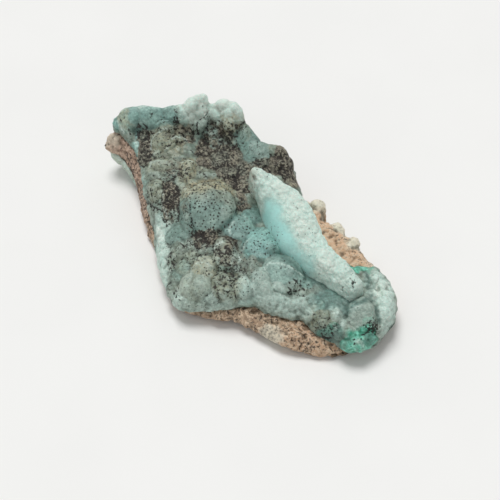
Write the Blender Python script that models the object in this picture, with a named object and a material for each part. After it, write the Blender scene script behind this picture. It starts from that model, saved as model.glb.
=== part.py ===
"""Hemimorphite specimen: a loose hand piece of pale blue-green botryoidal crust on brown matrix.

Three solids make it up. The matrix is a plate of brown rock that the piece rests on. The
hemimorphite crust lies over it: a basin of round lumps with a wall of blocks along its back and
a long ridge to the right. The underside crust is a thin pale patch below the raised left end.

X runs along the piece, left to right. Y runs from the front edge to the back wall. Z is up. The
origin is on the ground, under the middle of the piece. Lengths in the tables are millimetres.
"""
import bpy
import bmesh
import numpy as np

MM = 0.001

# Driving dimensions, in millimetres
GAP = 0.35              # clearance between the crusts and the matrix
EDGE_MIN_WIDTH = 0.9    # width of the first and last sections at the two tips
CRUST_ROLL = 2.6        # radius over which the crust rounds off at its outline
MATRIX_ROLL = 2.2       # radius over which the matrix rounds off at its outline
UNDERCUT = 4.5          # how far in from its outline the matrix's underside is raised
RIM_SHARE = 0.25        # height of the matrix's rim, as a share of its thickness there
FLOOR_REACH = 3.6       # how far one spot height of the basin floor is felt
JOIN_REACH = 5.5        # how far one spot height of the join between crust and matrix is felt
WALL_THICK = 3.2        # thickness of the back wall at its crest
WALL_SLOPE = 3.0        # distance over which its inner face falls to the basin floor
RIDGE_SQUARENESS = 2.7  # 2 is a round section, more is squarer
HOLLOW_DEPTH = 0.8      # depth of the shallow hollows between the resting patches
HOLLOW_TURN_X = 0.24    # how fast hollows and patches follow each other along X, radians per mm
HOLLOW_TURN_Y = 0.29    # and along Y

# Facets: sections along X, points over the top and under the bottom of each section
CRUST_SECTIONS, CRUST_TOP, CRUST_UNDER = 150, 84, 14
MATRIX_SECTIONS, MATRIX_TOP, MATRIX_UNDER = 90, 40, 22
PATCH_SECTIONS, PATCH_TOP, PATCH_UNDER = 12, 7, 9
CRUST_TRIANGLES, MATRIX_TRIANGLES = 6400, 2700

# Outlines seen from above, as (x, y) along the front and back edges from left to right
CRUST_FRONT = [(-42.6, 4.6), (-41.3, 3.4), (-40.0, 3.9), (-37.2, 3.2), (-34.0, 2.3), (-29.9, -0.4),
               (-27.0, -3.1), (-22.9, -6.3), (-19.6, -8.9), (-16.8, -11.2), (-13.2, -14.8),
               (-7.9, -19.0), (-3.1, -22.4), (-0.8, -23.7), (1.8, -24.0), (3.9, -22.9),
               (5.6, -21.4), (8.3, -19.4), (11.1, -17.6), (13.4, -15.1), (15.2, -13.8),
               (17.9, -13.7), (21.4, -12.6), (25.7, -10.6), (29.3, -11.2), (31.5, -11.3),
               (34.4, -10.2), (37.4, -10.3), (39.6, -9.9), (42.0, -7.8), (43.0, -3.4)]
CRUST_BACK = [(-42.6, 5.6), (-42.3, 8.2), (-40.4, 10.6), (-37.6, 12.2), (-34.2, 14.2),
              (-31.3, 16.7), (-29.2, 18.6), (-26.9, 21.0), (-24.4, 21.2), (-21.2, 23.6),
              (-18.2, 24.0), (-15.0, 23.6), (-12.8, 23.0), (-9.8, 22.6), (-7.3, 23.5),
              (-3.8, 23.8), (-0.8, 23.2), (1.9, 20.4), (4.4, 18.4), (6.6, 16.4), (9.0, 14.6),
              (12.0, 12.8), (15.0, 11.2), (18.0, 9.8), (21.0, 8.6), (24.0, 7.8), (26.5, 7.8),
              (28.5, 9.2), (30.5, 11.4), (33.0, 11.4), (36.0, 10.4), (39.8, 7.4), (42.4, 2.6),
              (43.0, -2.2)]
MATRIX_FRONT = [(-43.0, 2.2), (-42.4, 1.2), (-41.0, 1.0), (-38.7, 1.5), (-36.4, 1.6),
                (-33.8, 0.8), (-30.5, -1.2), (-25.5, -5.4), (-21.0, -8.6), (-18.2, -10.4),
                (-15.0, -12.4), (-12.0, -14.4), (-7.0, -18.2), (-2.0, -21.2), (0.8, -21.9),
                (3.4, -21.4), (8.0, -19.6), (11.5, -17.4), (15.7, -16.6), (19.5, -16.4),
                (22.4, -16.2), (27.4, -15.4), (31.4, -13.5), (35.8, -11.7), (37.6, -10.2),
                (40.6, -7.2), (42.4, -3.4)]
MATRIX_BACK = [(-43.0, 3.6), (-42.2, 6.6), (-40.4, 9.0), (-37.0, 11.2), (-30.6, 16.0),
               (-26.6, 19.8), (-24.0, 20.2), (-18.0, 23.2), (-10.0, 21.8), (-4.0, 22.8),
               (0.0, 22.2), (3.0, 19.8), (6.1, 18.6), (7.7, 19.0), (9.6, 20.4), (12.2, 18.5),
               (13.6, 15.8), (16.2, 17.0), (18.8, 16.7), (23.2, 16.2), (24.8, 14.8),
               (30.1, 12.8), (33.0, 12.2), (36.4, 10.4), (40.0, 6.6), (42.0, 2.0), (42.4, -2.4)]
PATCH_FRONT = [(-42.4, 2.9), (-41.2, 1.8), (-38.8, 1.5), (-36.6, 1.3), (-34.4, 0.7), (-32.4, 0.6)]
PATCH_BACK = [(-42.4, 4.4), (-40.5, 7.6), (-37.0, 9.2), (-34.0, 8.0), (-32.4, 4.6)]

# Height of the crust's surface without wall, ridge and lumps, as (x, y, z)
FLOOR_SPOTS = [
    (-41, 4, 15.5), (-37, 3, 14.5), (-34, 2, 13.5), (-30, 0, 12.5), (-27, -3, 11.5),
    (-23, -6, 10.5), (-19, -9, 9), (-16, -11, 7.5), (-13, -14, 6), (-8, -18, 5), (-3, -21, 4.5),
    (-38, 7, 14), (-34, 5, 13), (-30, 4, 12), (-30, 11, 12.5), (-24, 8, 12.5), (-25, 15, 13),
    (-20, 14, 12.5), (-14, 16, 12.5), (-22, -1, 12), (-18, 3, 12.5), (-12, 5, 13), (-8, 9, 12.5),
    (-16, -6, 11.5), (-11, -4, 13), (-7, -2, 14), (-3, 3, 12), (-11, -12, 10), (-5, -11, 11),
    (-1, -8, 11.5), (2, -2, 12), (8, -2, 12), (-5, -17, 8.5), (0, -15, 10), (5, -11, 11),
    (10, -8, 11), (17, -6, 11), (0, -21, 6), (4, -19, 8), (8, -16, 8.5), (13, -13, 9),
    (18, -10, 9), (24, -8, 9), (28, -4, 8.5), (24, -12, 6.5), (31, -6, 8), (36, -4, 9),
    (39, -7, 6), (39, 2, 8), (37, 7, 7.5), (32, 8, 8.5), (29, 9, 8.5), (22, 9, 9), (16, 11, 9),
    (10, 14, 9.5), (5, 17, 11), (0, 20, 13), (-5, 20, 14), (-8, 19, 14.5), (-11, 17, 14),
    (-3, 14, 12.5), (3, 12, 11), (12, 8, 10), (24, 3, 9.5), (15, -1, 11), (25, -2, 9.5)]

# Height of the join between the crust and the matrix, as (x, y, z)
JOIN_SPOTS = [
    (-41, 4, 12.6), (-38, 4, 12.3), (-34, 2, 11), (-30, 0, 9.8), (-25, -4, 8), (-21, -7, 6),
    (-17, -10, 4), (-13, -13, 3), (-7, -18, 2.6), (0, -22, 2.8), (5, -21, 4), (9, -18, 4.6),
    (14, -14, 5), (20, -12, 5.2), (26, -10, 5.4), (31, -11, 4.6), (37, -9, 3.4), (41, -6, 3),
    (41, 0, 3), (39, 5, 4.4), (35, 9, 6), (30, 10, 7), (24, 8, 7.6), (18, 10, 8), (12, 13, 8),
    (6, 17, 8.2), (0, 20, 8.5), (-8, 21, 8.5), (-16, 22, 8.5), (-24, 19, 9), (-30, 15, 9.8),
    (-36, 11, 11), (-40, 7, 12), (-30, 7, 8.5), (-20, 5, 7), (-10, 0, 6.5), (0, 0, 6.5),
    (10, 0, 6.5), (20, -1, 6.5), (30, 0, 5.5), (-5, -10, 5.5), (8, -9, 6), (-15, 12, 7),
    (0, 10, 7.5)]

# Back wall: its height above the basin floor at points along X
WALL_RISE = [(-42.6, 1.0), (-40.0, 3.0), (-37.0, 4.5), (-34.0, 5.5), (-30.5, 6.5), (-28.0, 8.0),
             (-25.5, 8.8), (-23.4, 7.4), (-20.5, 8.0), (-17.5, 8.0), (-14.8, 4.2), (-12.5, 1.8),
             (-9.0, 0.8), (-5.0, 0.8), (0.0, 0.4), (3.0, 0.0)]

# Ridge: points along its back, as (x, y, half width, height)
RIDGE_PATH = [(-2.4, 8.3, 1.4, 21.2), (0.6, 7.7, 3.4, 21.4), (4.5, 7.6, 5.0, 20.6),
              (7.3, 7.8, 5.2, 19.7), (10.8, 6.1, 5.4, 18.7), (14.5, 4.1, 5.2, 17.4),
              (18.0, 2.8, 4.9, 16.4), (22.0, 1.3, 4.7, 15.4), (25.2, 0.6, 4.6, 14.6),
              (28.0, 0.4, 4.6, 13.6), (31.0, 0.3, 4.2, 12.8), (33.6, -0.6, 3.2, 12.2)]

# Lumps grown on the crust, as (x, y, half length, half width, height). The long way of each
# lies at LUMP_TURN to the X axis.
LUMP_TURN = np.radians(38)
LUMPS = {
    "dome in the basin": [(-6.6, -2.9, 6.8, 6.6, 2.6)],
    "left of the basin": [(-27.6, 6.1, 3.0, 2.8, 1.9), (-24.6, 1.9, 2.6, 2.1, 1.2),
                          (-17.8, 3.4, 1.8, 3.2, 1.5), (-21.6, -4.9, 2.0, 2.7, 1.0),
                          (-18.2, -8.6, 1.6, 1.5, 0.8), (-23.2, 7.3, 2.3, 2.2, 1.1),
                          (-32.9, 5.7, 1.8, 2.0, 0.9), (-16.6, -5.6, 1.2, 4.4, 1.1)],
    "upper basin": [(-19.4, 15.4, 2.4, 2.3, 1.3), (-15.4, 10.2, 3.0, 2.7, 1.2),
                    (-9.6, 10.4, 3.4, 3.3, 1.2), (-10.8, 17.3, 3.0, 4.1, 1.3),
                    (-6.6, 19.3, 1.9, 2.4, 1.0), (-3.4, 21.0, 2.3, 2.2, 1.0),
                    (0.2, 18.8, 2.2, 2.6, 1.0), (-17.6, 7.6, 2.2, 2.5, 1.0)],
    "back wall blocks": [(-39.7, 7.6, 2.0, 2.4, 1.2), (-36.4, 9.6, 2.3, 2.6, 1.0),
                         (-32.8, 12.6, 2.7, 2.6, 1.0), (-29.6, 15.0, 2.2, 2.4, 1.0),
                         (-26.2, 17.6, 3.0, 3.2, 1.2), (-24.5, 15.2, 3.4, 3.0, 2.0),
                         (-18.4, 20.4, 4.4, 4.2, 1.4), (-20.8, 16.8, 2.0, 3.2, 1.6)],
    "front of the dome": [(2.3, -2.5, 3.5, 2.9, 1.6), (9.0, -2.9, 4.9, 4.2, 2.0),
                          (4.6, -10.8, 3.2, 4.4, 1.9), (-2.5, -10.2, 2.9, 2.6, 1.1),
                          (-7.9, -9.8, 2.1, 2.3, 1.0), (-11.1, -11.6, 1.6, 2.0, 1.0)],
    "front left": [(2.8, -16.0, 2.8, 2.7, 1.7), (4.2, -19.6, 3.9, 2.6, 1.6),
                   (-3.5, -15.1, 2.2, 2.5, 1.0), (-10.1, -15.6, 1.6, 4.0, 0.8),
                   (-1.3, -18.3, 2.0, 2.0, 1.0), (8.4, -16.9, 3.3, 2.6, 1.2)],
    "front middle": [(17.9, -6.9, 4.9, 4.9, 2.3), (16.2, -10.9, 3.4, 3.3, 1.8),
                     (9.9, -9.0, 2.2, 3.1, 1.0), (12.4, -14.0, 2.2, 2.6, 1.1),
                     (22.6, -10.9, 2.3, 2.0, 1.2), (25.5, -8.3, 2.3, 2.5, 1.2)],
    "right end": [(27.4, -4.2, 2.4, 2.0, 1.0), (29.9, -8.8, 2.4, 2.8, 1.0),
                  (32.4, -6.8, 1.8, 1.9, 1.2), (34.1, -9.0, 1.7, 1.6, 0.9),
                  (37.2, -4.0, 3.7, 3.6, 2.2), (39.4, 2.8, 2.2, 2.7, 1.5),
                  (40.6, -0.6, 1.8, 2.4, 1.2), (33.7, 5.3, 1.7, 2.1, 1.1),
                  (36.6, 4.1, 1.9, 2.0, 1.3), (38.9, -7.2, 2.9, 2.3, 1.2)],
    "ridge": [(3.6, 7.4, 4.4, 3.4, 0.4), (9.9, 7.0, 4.2, 3.8, 0.4), (13.4, 3.2, 3.6, 3.2, 0.5),
              (18.0, 3.4, 3.8, 3.6, 0.4), (21.6, -0.4, 3.2, 3.2, 0.7), (26.4, 0.2, 3.4, 3.6, 0.5),
              (31.3, -0.9, 3.0, 3.2, 0.6)]}

# Underside: how high its left end is raised, as (x, z) pairs
LEFT_RAISE = [(-42.6, 7.2), (-38.0, 6.4), (-34.0, 4.4), (-30.0, 1.6), (-27.5, 0.0)]
PATCH_DEPTH = 3.2       # how far the patch below the left end hangs down
PATCH_EDGE = 0.5        # thickness of its edge
PATCH_ROLL = 1.8        # radius over which it rounds off at its outline
PATCH_LOWEST = 0.4      # the patch stays this far above the ground

# Finish: base colour, roughness
CRUST_COLOUR, CRUST_ROUGHNESS = (0.36, 0.52, 0.47, 1.0), 0.42
MATRIX_COLOUR, MATRIX_ROUGHNESS = (0.36, 0.25, 0.17, 1.0), 0.85
PATCH_COLOUR, PATCH_ROUGHNESS = (0.62, 0.66, 0.52, 1.0), 0.5


def clear_scene():
    """Remove every object that is already in the scene."""
    for old in list(bpy.data.objects):
        bpy.data.objects.remove(old, do_unlink=True)


def make_material(name, colour, roughness):
    """A Principled material with a plain colour."""
    material = bpy.data.materials.new(name)
    material.use_nodes = True
    shader = material.node_tree.nodes["Principled BSDF"]
    shader.inputs["Base Color"].default_value = colour
    shader.inputs["Roughness"].default_value = roughness
    shader.inputs["Metallic"].default_value = 0.0
    material.diffuse_color = colour
    return material


def along(pairs, x):
    """Read a table of (position, value) pairs at x, straight between its points."""
    table = np.array(pairs)
    return np.interp(x, table[:, 0], table[:, 1])


def spot_height(spots, reach, x, y):
    """Mean of the spot heights, each weighted by a bell curve of its distance from (x, y)."""
    table = np.array(spots, float)
    square = (x[..., None] - table[:, 0]) ** 2 + (y[..., None] - table[:, 1]) ** 2
    nearest = square.min(axis=-1, keepdims=True)
    weight = np.exp((nearest - square) / (2.0 * reach ** 2))
    return (weight * table[:, 2]).sum(axis=-1) / weight.sum(axis=-1)


def distance_to_line(line, x, y):
    """Shortest distance in plan from each (x, y) to a chain of straight pieces."""
    table = np.array(line, float)
    best = np.full(np.shape(x), np.inf)
    for (ax, ay), (bx, by) in zip(table[:-1], table[1:]):
        length_square = (bx - ax) ** 2 + (by - ay) ** 2
        share = ((x - ax) * (bx - ax) + (y - ay) * (by - ay)) / length_square
        share = np.clip(share, 0.0, 1.0)
        gap = np.hypot(x - ax - share * (bx - ax), y - ay - share * (by - ay))
        best = np.minimum(best, gap)
    return best


def distance_to_outline(front, back, x, y):
    """Shortest distance in plan to the closed outline made by the two edges."""
    closed = list(front) + list(back)[::-1] + [front[0]]
    return distance_to_line(closed, x, y)


def quarter_round(distance, radius):
    """Rise from 0 at the outline to 1 at one radius inside it, along a quarter circle."""
    inside = np.clip(distance / radius, 0.0, 1.0)
    return np.sqrt(1.0 - (1.0 - inside) ** 2)


def smooth_step(value):
    """Ease from 0 to 1 as value goes from 0 to 1."""
    share = np.clip(value, 0.0, 1.0)
    return share * share * (3.0 - 2.0 * share)


def wall_rise(x, y):
    """Height of the back wall above the floor: full at the crest, easing to 0 on its inner face."""
    inset = distance_to_line(CRUST_BACK, x, y)
    return along(WALL_RISE, x) * smooth_step((WALL_THICK + WALL_SLOPE - inset) / WALL_SLOPE)


def ridge_top(x, y, ground):
    """Height of the ridge: a squarish round section carried along its path, over the ground."""
    path = np.array(RIDGE_PATH)
    steps = np.linspace(0, len(path) - 1, 12 * len(path))
    table = np.array([np.interp(steps, np.arange(len(path)), path[:, k]) for k in range(4)])
    square = (x[..., None] - table[0]) ** 2 + (y[..., None] - table[1]) ** 2
    share = np.sqrt(square) / table[2]
    nearest = share.argmin(axis=-1)
    share = np.clip(share.min(axis=-1), 0.0, 1.0)
    body = (1.0 - share ** RIDGE_SQUARENESS) ** (1.0 / RIDGE_SQUARENESS)
    return ground + (table[3][nearest] - ground) * body


def lump_rise(x, y):
    """Height of the highest lump over each point: half ellipsoids, the greatest one wins."""
    cos, sin = np.cos(LUMP_TURN), np.sin(LUMP_TURN)
    rise = np.zeros(np.shape(x))
    for group in LUMPS.values():
        for cx, cy, half_length, half_width, height in group:
            lengthways = ((x - cx) * cos + (y - cy) * sin) / half_length
            sideways = ((y - cy) * cos - (x - cx) * sin) / half_width
            inside = np.clip(1.0 - lengthways ** 2 - sideways ** 2, 0.0, None)
            rise = np.maximum(rise, height * np.sqrt(inside))
    return rise


def join_height(x, y):
    """Height of the join between crust and matrix."""
    return spot_height(JOIN_SPOTS, JOIN_REACH, x, y)


def crust_top(x, y):
    """Upper surface of the crust, rounded off at its outline down to the join."""
    ground = spot_height(FLOOR_SPOTS, FLOOR_REACH, x, y) + wall_rise(x, y)
    surface = np.maximum(ground, ridge_top(x, y, ground)) + lump_rise(x, y)
    join = join_height(x, y)
    edge = quarter_round(distance_to_outline(CRUST_FRONT, CRUST_BACK, x, y), CRUST_ROLL)
    return join + np.maximum(surface - join, 0.8) * edge


def matrix_bottom(x, y):
    """Underside of the matrix: flat resting patches at 0, one of them under the middle of the
    piece, with shallow hollows between them and a raised left end."""
    hollows = -HOLLOW_DEPTH * np.cos(x * HOLLOW_TURN_X) * np.cos(y * HOLLOW_TURN_Y)
    return np.maximum(along(LEFT_RAISE, x) + np.clip(hollows, 0.0, None), 0.0)


def matrix_surfaces(x, y):
    """Top and bottom of the matrix, which meet at its rim."""
    inset = distance_to_outline(MATRIX_FRONT, MATRIX_BACK, x, y)
    top = join_height(x, y) - GAP
    bottom = matrix_bottom(x, y)
    rim = bottom + RIM_SHARE * (top - bottom)
    upper = rim + (top - rim) * quarter_round(inset, MATRIX_ROLL)
    lower = rim + (bottom - rim) * quarter_round(inset, UNDERCUT)
    return upper, lower


def patch_surfaces(x, y):
    """Top and bottom of the underside crust: it hangs below the matrix, thinning to its outline."""
    inset = distance_to_outline(PATCH_FRONT, PATCH_BACK, x, y)
    top = matrix_surfaces(x, y)[1] - GAP
    depth = PATCH_EDGE + PATCH_DEPTH * quarter_round(inset, PATCH_ROLL)
    return top, np.maximum(top - depth, PATCH_LOWEST)


def section_positions(front, back, sections, across):
    """Plan grid of a body: sections closer together at the tips, points closer at the edges."""
    first, last = max(front[0][0], back[0][0]), min(front[-1][0], back[-1][0])
    turn = np.linspace(0.0, np.pi, sections)
    even = np.linspace(0.0, 1.0, sections)
    x = first + (last - first) * (0.6 * even + 0.4 * (1.0 - np.cos(turn)) / 2.0)
    near, far = along(front, x), along(back, x)
    middle = (near + far) / 2.0
    half = np.maximum((far - near) / 2.0, EDGE_MIN_WIDTH / 2.0)
    angle = np.linspace(0.0, np.pi, across)
    share = -np.cos(angle)
    return np.repeat(x[:, None], across, axis=1), middle[:, None] + half[:, None] * share


def loft(name, top, under, material, collection):
    """Closed body from two grids of points that share their edges: a skin over the top, one
    under the bottom, and a flat end at each tip."""
    rings = np.concatenate([top, under[:, ::-1][:, 1:-1]], axis=1)
    body = bmesh.new()
    grid = [[body.verts.new(point * MM) for point in ring] for ring in rings]
    count = len(grid[0])
    for ring, following in zip(grid[:-1], grid[1:]):
        for k in range(count):
            after = (k + 1) % count
            body.faces.new((ring[k], following[k], following[after], ring[after]))
    for ring in (grid[0], grid[-1]):
        centre = body.verts.new(sum((v.co for v in ring[1:]), ring[0].co.copy()) / count)
        for k in range(count):
            body.faces.new((ring[k], ring[(k + 1) % count], centre))
    bmesh.ops.recalc_face_normals(body, faces=body.faces)
    if body.calc_volume(signed=True) < 0.0:
        bmesh.ops.reverse_faces(body, faces=body.faces)
    mesh = bpy.data.meshes.new(name)
    body.to_mesh(mesh)
    body.free()
    mesh.materials.append(material)
    made = bpy.data.objects.new(name, mesh)
    collection.objects.link(made)
    return made


def thin_out(made, triangles):
    """Merge small facets until about this many triangles are left."""
    made.data.calc_loop_triangles()
    modifier = made.modifiers.new("thin out", "DECIMATE")
    modifier.ratio = triangles / len(made.data.loop_triangles)


def make_crust(collection):
    """The blue-green crust with its back wall, ridge and lumps."""
    material = make_material("crust", CRUST_COLOUR, CRUST_ROUGHNESS)
    x, y = section_positions(CRUST_FRONT, CRUST_BACK, CRUST_SECTIONS, CRUST_TOP)
    top = np.stack([x, y, crust_top(x, y)], axis=-1)
    x, y = section_positions(CRUST_FRONT, CRUST_BACK, CRUST_SECTIONS, CRUST_UNDER + 2)
    under = np.stack([x, y, join_height(x, y)], axis=-1)
    made = loft("hemimorphite_crust", top, under, material, collection)
    thin_out(made, CRUST_TRIANGLES)


def make_matrix(collection):
    """The brown rock plate that the piece rests on."""
    material = make_material("matrix rock", MATRIX_COLOUR, MATRIX_ROUGHNESS)
    x, y = section_positions(MATRIX_FRONT, MATRIX_BACK, MATRIX_SECTIONS, MATRIX_TOP)
    top = np.stack([x, y, matrix_surfaces(x, y)[0]], axis=-1)
    x, y = section_positions(MATRIX_FRONT, MATRIX_BACK, MATRIX_SECTIONS, MATRIX_UNDER + 2)
    under = np.stack([x, y, matrix_surfaces(x, y)[1]], axis=-1)
    made = loft("matrix", top, under, material, collection)
    thin_out(made, MATRIX_TRIANGLES)


def make_underside_crust(collection):
    """The pale patch of crust below the raised left end."""
    material = make_material("pale crust", PATCH_COLOUR, PATCH_ROUGHNESS)
    x, y = section_positions(PATCH_FRONT, PATCH_BACK, PATCH_SECTIONS, PATCH_TOP + 2)
    top = np.stack([x, y, patch_surfaces(x, y)[0]], axis=-1)
    x, y = section_positions(PATCH_FRONT, PATCH_BACK, PATCH_SECTIONS, PATCH_UNDER + 2)
    under = np.stack([x, y, patch_surfaces(x, y)[1]], axis=-1)
    loft("underside_crust", top, under, material, collection)


def main():
    clear_scene()
    collection = bpy.data.collections.new("hemimorphite specimen")
    bpy.context.scene.collection.children.link(collection)
    make_matrix(collection)
    make_crust(collection)
    make_underside_crust(collection)


main()
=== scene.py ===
"""Hemimorphite specimen, dressed: the blue-green botryoidal crust with its ridge, the brown
matrix it grew on and the pale crust below its raised end, with their finishes and a studio.

Large forms follow the solid part's; the ridge is shaped more closely. X runs along the piece,
Y from the front edge to the back wall, Z up. Tables are in millimetres, meshes in metres.
"""

import bpy
import numpy as np
from bpy.props import FloatProperty, FloatVectorProperty, PointerProperty
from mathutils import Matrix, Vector


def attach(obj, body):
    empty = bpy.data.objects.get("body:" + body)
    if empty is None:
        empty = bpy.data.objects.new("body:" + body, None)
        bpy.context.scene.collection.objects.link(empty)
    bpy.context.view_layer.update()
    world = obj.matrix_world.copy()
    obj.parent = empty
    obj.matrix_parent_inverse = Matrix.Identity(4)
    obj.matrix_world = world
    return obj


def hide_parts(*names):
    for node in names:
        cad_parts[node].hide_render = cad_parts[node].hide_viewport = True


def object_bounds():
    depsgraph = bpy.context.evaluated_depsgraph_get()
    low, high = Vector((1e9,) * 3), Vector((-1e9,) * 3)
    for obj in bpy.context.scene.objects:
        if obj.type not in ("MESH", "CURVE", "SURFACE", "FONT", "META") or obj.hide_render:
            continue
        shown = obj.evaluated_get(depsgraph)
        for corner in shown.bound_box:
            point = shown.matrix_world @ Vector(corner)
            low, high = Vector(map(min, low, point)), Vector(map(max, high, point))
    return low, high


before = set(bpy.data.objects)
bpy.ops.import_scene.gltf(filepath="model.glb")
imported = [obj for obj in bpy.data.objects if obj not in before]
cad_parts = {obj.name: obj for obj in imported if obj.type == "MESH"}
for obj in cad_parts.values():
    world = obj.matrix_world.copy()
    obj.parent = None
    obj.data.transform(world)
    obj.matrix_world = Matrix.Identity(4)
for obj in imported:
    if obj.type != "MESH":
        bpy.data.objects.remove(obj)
CAD_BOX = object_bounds()

bl_info = {
    "name": "Hemimorphite specimen",
    "version": (1, 0, 0),
    "blender": (4, 5, 0),
    "location": "3D View > Sidebar > Specimen",
    "description": "Builds a hemimorphite hand piece with its finishes and a studio around it",
    "category": "Add Mesh",
}

MM = 0.001

# ---- Measures of the piece, in millimetres ----
GAP = 0.35              # between the crusts and the matrix
EDGE_MIN_WIDTH = 0.9    # least width of a section
EDGE_INSET = 0.4        # the smooth crust stays this far inside its outline, for the lumps' sake
MATRIX_INSET = 0.2      # the same for the matrix
PATCH_INSET = 0.1       # and for the pale crust below it
CRUST_ROLL = 2.6        # how far in from its outline the crust's top rounds off
CRUST_LEAST = 0.8       # least height of the crust above the join
MATRIX_ROLL = 2.2       # how far in the matrix's top rounds off
UNDERCUT = 4.5          # how far in its underside does
RIM_SHARE = 0.25        # how far up its thickness the matrix's rim lies
FRONT_RIM = [(-8.0, 0.0), (0.0, 0.3), (24.0, 0.3), (32.0, 0.0)]  # added to that in front, as (x, share)
FRONT_RIM_FADE = (-4.0, 6.0)    # y where that begins, and the length over which it comes in
FLOOR_REACH = 3.6       # how far the height of a floor spot reaches
JOIN_REACH = 5.5        # the same for a join spot
WALL_THICK = 1.4        # how far in the back wall keeps its full height
WALL_SLOPE = 5.4        # the length over which it then falls to the basin
HOLLOW_DEPTH = 0.8      # depth of the hollows between the resting patches
HOLLOW_TURN_X = 0.24    # radians of their wave for each millimetre along X
HOLLOW_TURN_Y = 0.29    # and along Y
REST_BELOW = 0.28       # rough rock lower than this is made flat, to rest on
PATCH_DEPTH = 3.6       # thickness of the pale crust below, inside its edge
PATCH_EDGE = 0.5        # and at its edge
PATCH_ROLL = 1.8        # how far in its underside rounds off
PATCH_LOWEST = 0.4      # its least height above the floor

# Outlines seen from above, as (x, y) along the front and back edges from left to right
CRUST_FRONT = [
    (-42.6, 4.6), (-41.3, 3.4), (-40, 3.9), (-37.2, 3.2), (-34, 2.3), (-29.9, -0.4),
    (-27, -3.1), (-22.9, -6.3), (-19.6, -8.9), (-16.8, -11.2), (-13.2, -14.8), (-7.9, -19), (-3.1, -22.4),
    (-0.8, -23.7), (1.8, -24), (3.9, -22.9), (5.6, -21.4), (8.3, -19.4), (11.1, -17.6), (13.4, -15.1),
    (15.2, -13.8), (17.9, -13.7), (21.4, -12.6), (25.7, -10.6), (29.3, -11.2), (31.5, -11.3), (34.4, -10.2),
    (37.2, -10.3), (39.2, -9.2), (41, -6.6), (42.2, -3.4)]
CRUST_BACK = [
    (-42.6, 5.6), (-42.3, 8.2), (-40.4, 10.6), (-37.6, 12.2), (-34.2, 14.2), (-31.3, 16.7),
    (-29.2, 18.6), (-26.9, 21), (-24.4, 21.2), (-21.2, 23.6), (-18.2, 24), (-15, 23.6), (-12.8, 23),
    (-9.8, 22.6), (-7.3, 23.5), (-3.8, 23.8), (-0.8, 23.2), (1.9, 20.4), (4.4, 18.4), (6.6, 16.4),
    (9, 14.6), (12, 12.8), (15, 11.2), (18, 9.8), (21, 8.6), (24, 7.8), (26.5, 7.8), (28.5, 9.2),
    (30.5, 11.4), (33, 11.2), (36, 10.2), (39.6, 7.2), (41.9, 2.8), (42.2, -2.2)]
MATRIX_FRONT = [
    (-43, 2.2), (-42.4, 1.2), (-41, 1), (-38.7, 1.5), (-36.4, 1.6), (-33.8, 0.8),
    (-30.5, -1.2), (-25.5, -5.4), (-21, -8.6), (-18.2, -10.4), (-15, -12.4), (-12, -14.4), (-6.9, -18.3),
    (-1.5, -21.9), (1.3, -22.6), (3.9, -22.1), (8.5, -20.3), (12, -18.1), (16.2, -17.3), (20, -17.1),
    (22.9, -16.9), (27.8, -15.9), (31.4, -13.5), (34.8, -11.6), (36.6, -9.4), (38.6, -6.4), (39.6, -3.4)]
MATRIX_BACK = [
    (-43, 3.6), (-42.2, 6.6), (-40.4, 9), (-37, 11.2), (-30.6, 16), (-26.6, 19.8), (-24, 20.2),
    (-18, 23.2), (-10, 21.8), (-4, 22.8), (0, 22.2), (3, 19.8), (6.1, 18.6), (7.7, 19), (9.6, 20.4),
    (12.2, 18.5), (13.6, 15.8), (16.2, 17), (18.8, 16.7), (23.2, 16.2), (24.8, 14.8), (30.1, 12.8),
    (33, 12), (36, 9.6), (38.4, 6), (39.6, 1.6), (39.6, -2.4)]
PATCH_FRONT = [(-42.4, 2.9), (-41.2, 1.8), (-38.8, 1.5), (-36.6, 1.3), (-34.4, 0.7), (-32.4, 0.6)]
PATCH_BACK = [
    (-42.4, 4.4), (-40.5, 7.6), (-37, 9.2), (-34, 8), (-32.4, 4.6)]

# Height of the crust's surface without wall, ridge and lumps, as (x, y, z)
FLOOR_SPOTS = [
    (-41, 4, 15.5), (-37, 3, 14.5), (-34, 2, 13.5), (-30, 0, 12.5), (-27, -3, 11.5),
    (-23, -6, 10.5), (-19, -9, 9), (-16, -11, 7.5), (-13, -14, 6), (-8, -18, 5), (-3, -21, 4.5),
    (-38, 7, 14), (-34, 5, 13), (-30, 4, 12), (-30, 11, 12.5), (-24, 8, 12.5), (-25, 15, 13),
    (-20, 14, 12.5), (-14, 16, 12.5), (-22, -1, 12), (-18, 3, 12.5), (-12, 5, 13), (-8, 9, 12.5),
    (-16, -6, 11.5), (-11, -4, 13), (-7, -2, 14), (-3, 3, 12), (-11, -12, 10), (-5, -11, 11),
    (-1, -8, 11.5), (2, -2, 12), (8, -2, 12), (-5, -17, 8.5), (0, -15, 10), (5, -11, 11),
    (10, -8, 11), (17, -6, 11), (0, -21, 6), (4, -19, 8), (8, -16, 8.5), (13, -13, 9),
    (18, -10, 9), (24, -8, 9), (28, -4, 8.5), (24, -12, 6.5), (31, -6, 8), (36, -4, 9),
    (39, -7, 6), (39, 2, 8), (37, 7, 7.5), (32, 8, 8.5), (29, 9, 8.5), (22, 9, 9), (16, 11, 9),
    (10, 14, 9.5), (5, 17, 11), (0, 20, 13), (-5, 20, 14), (-8, 19, 14.5), (-11, 17, 14),
    (-3, 14, 12.5), (3, 12, 11), (12, 8, 10), (24, 3, 9.5), (15, -1, 11), (25, -2, 9.5)]

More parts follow.
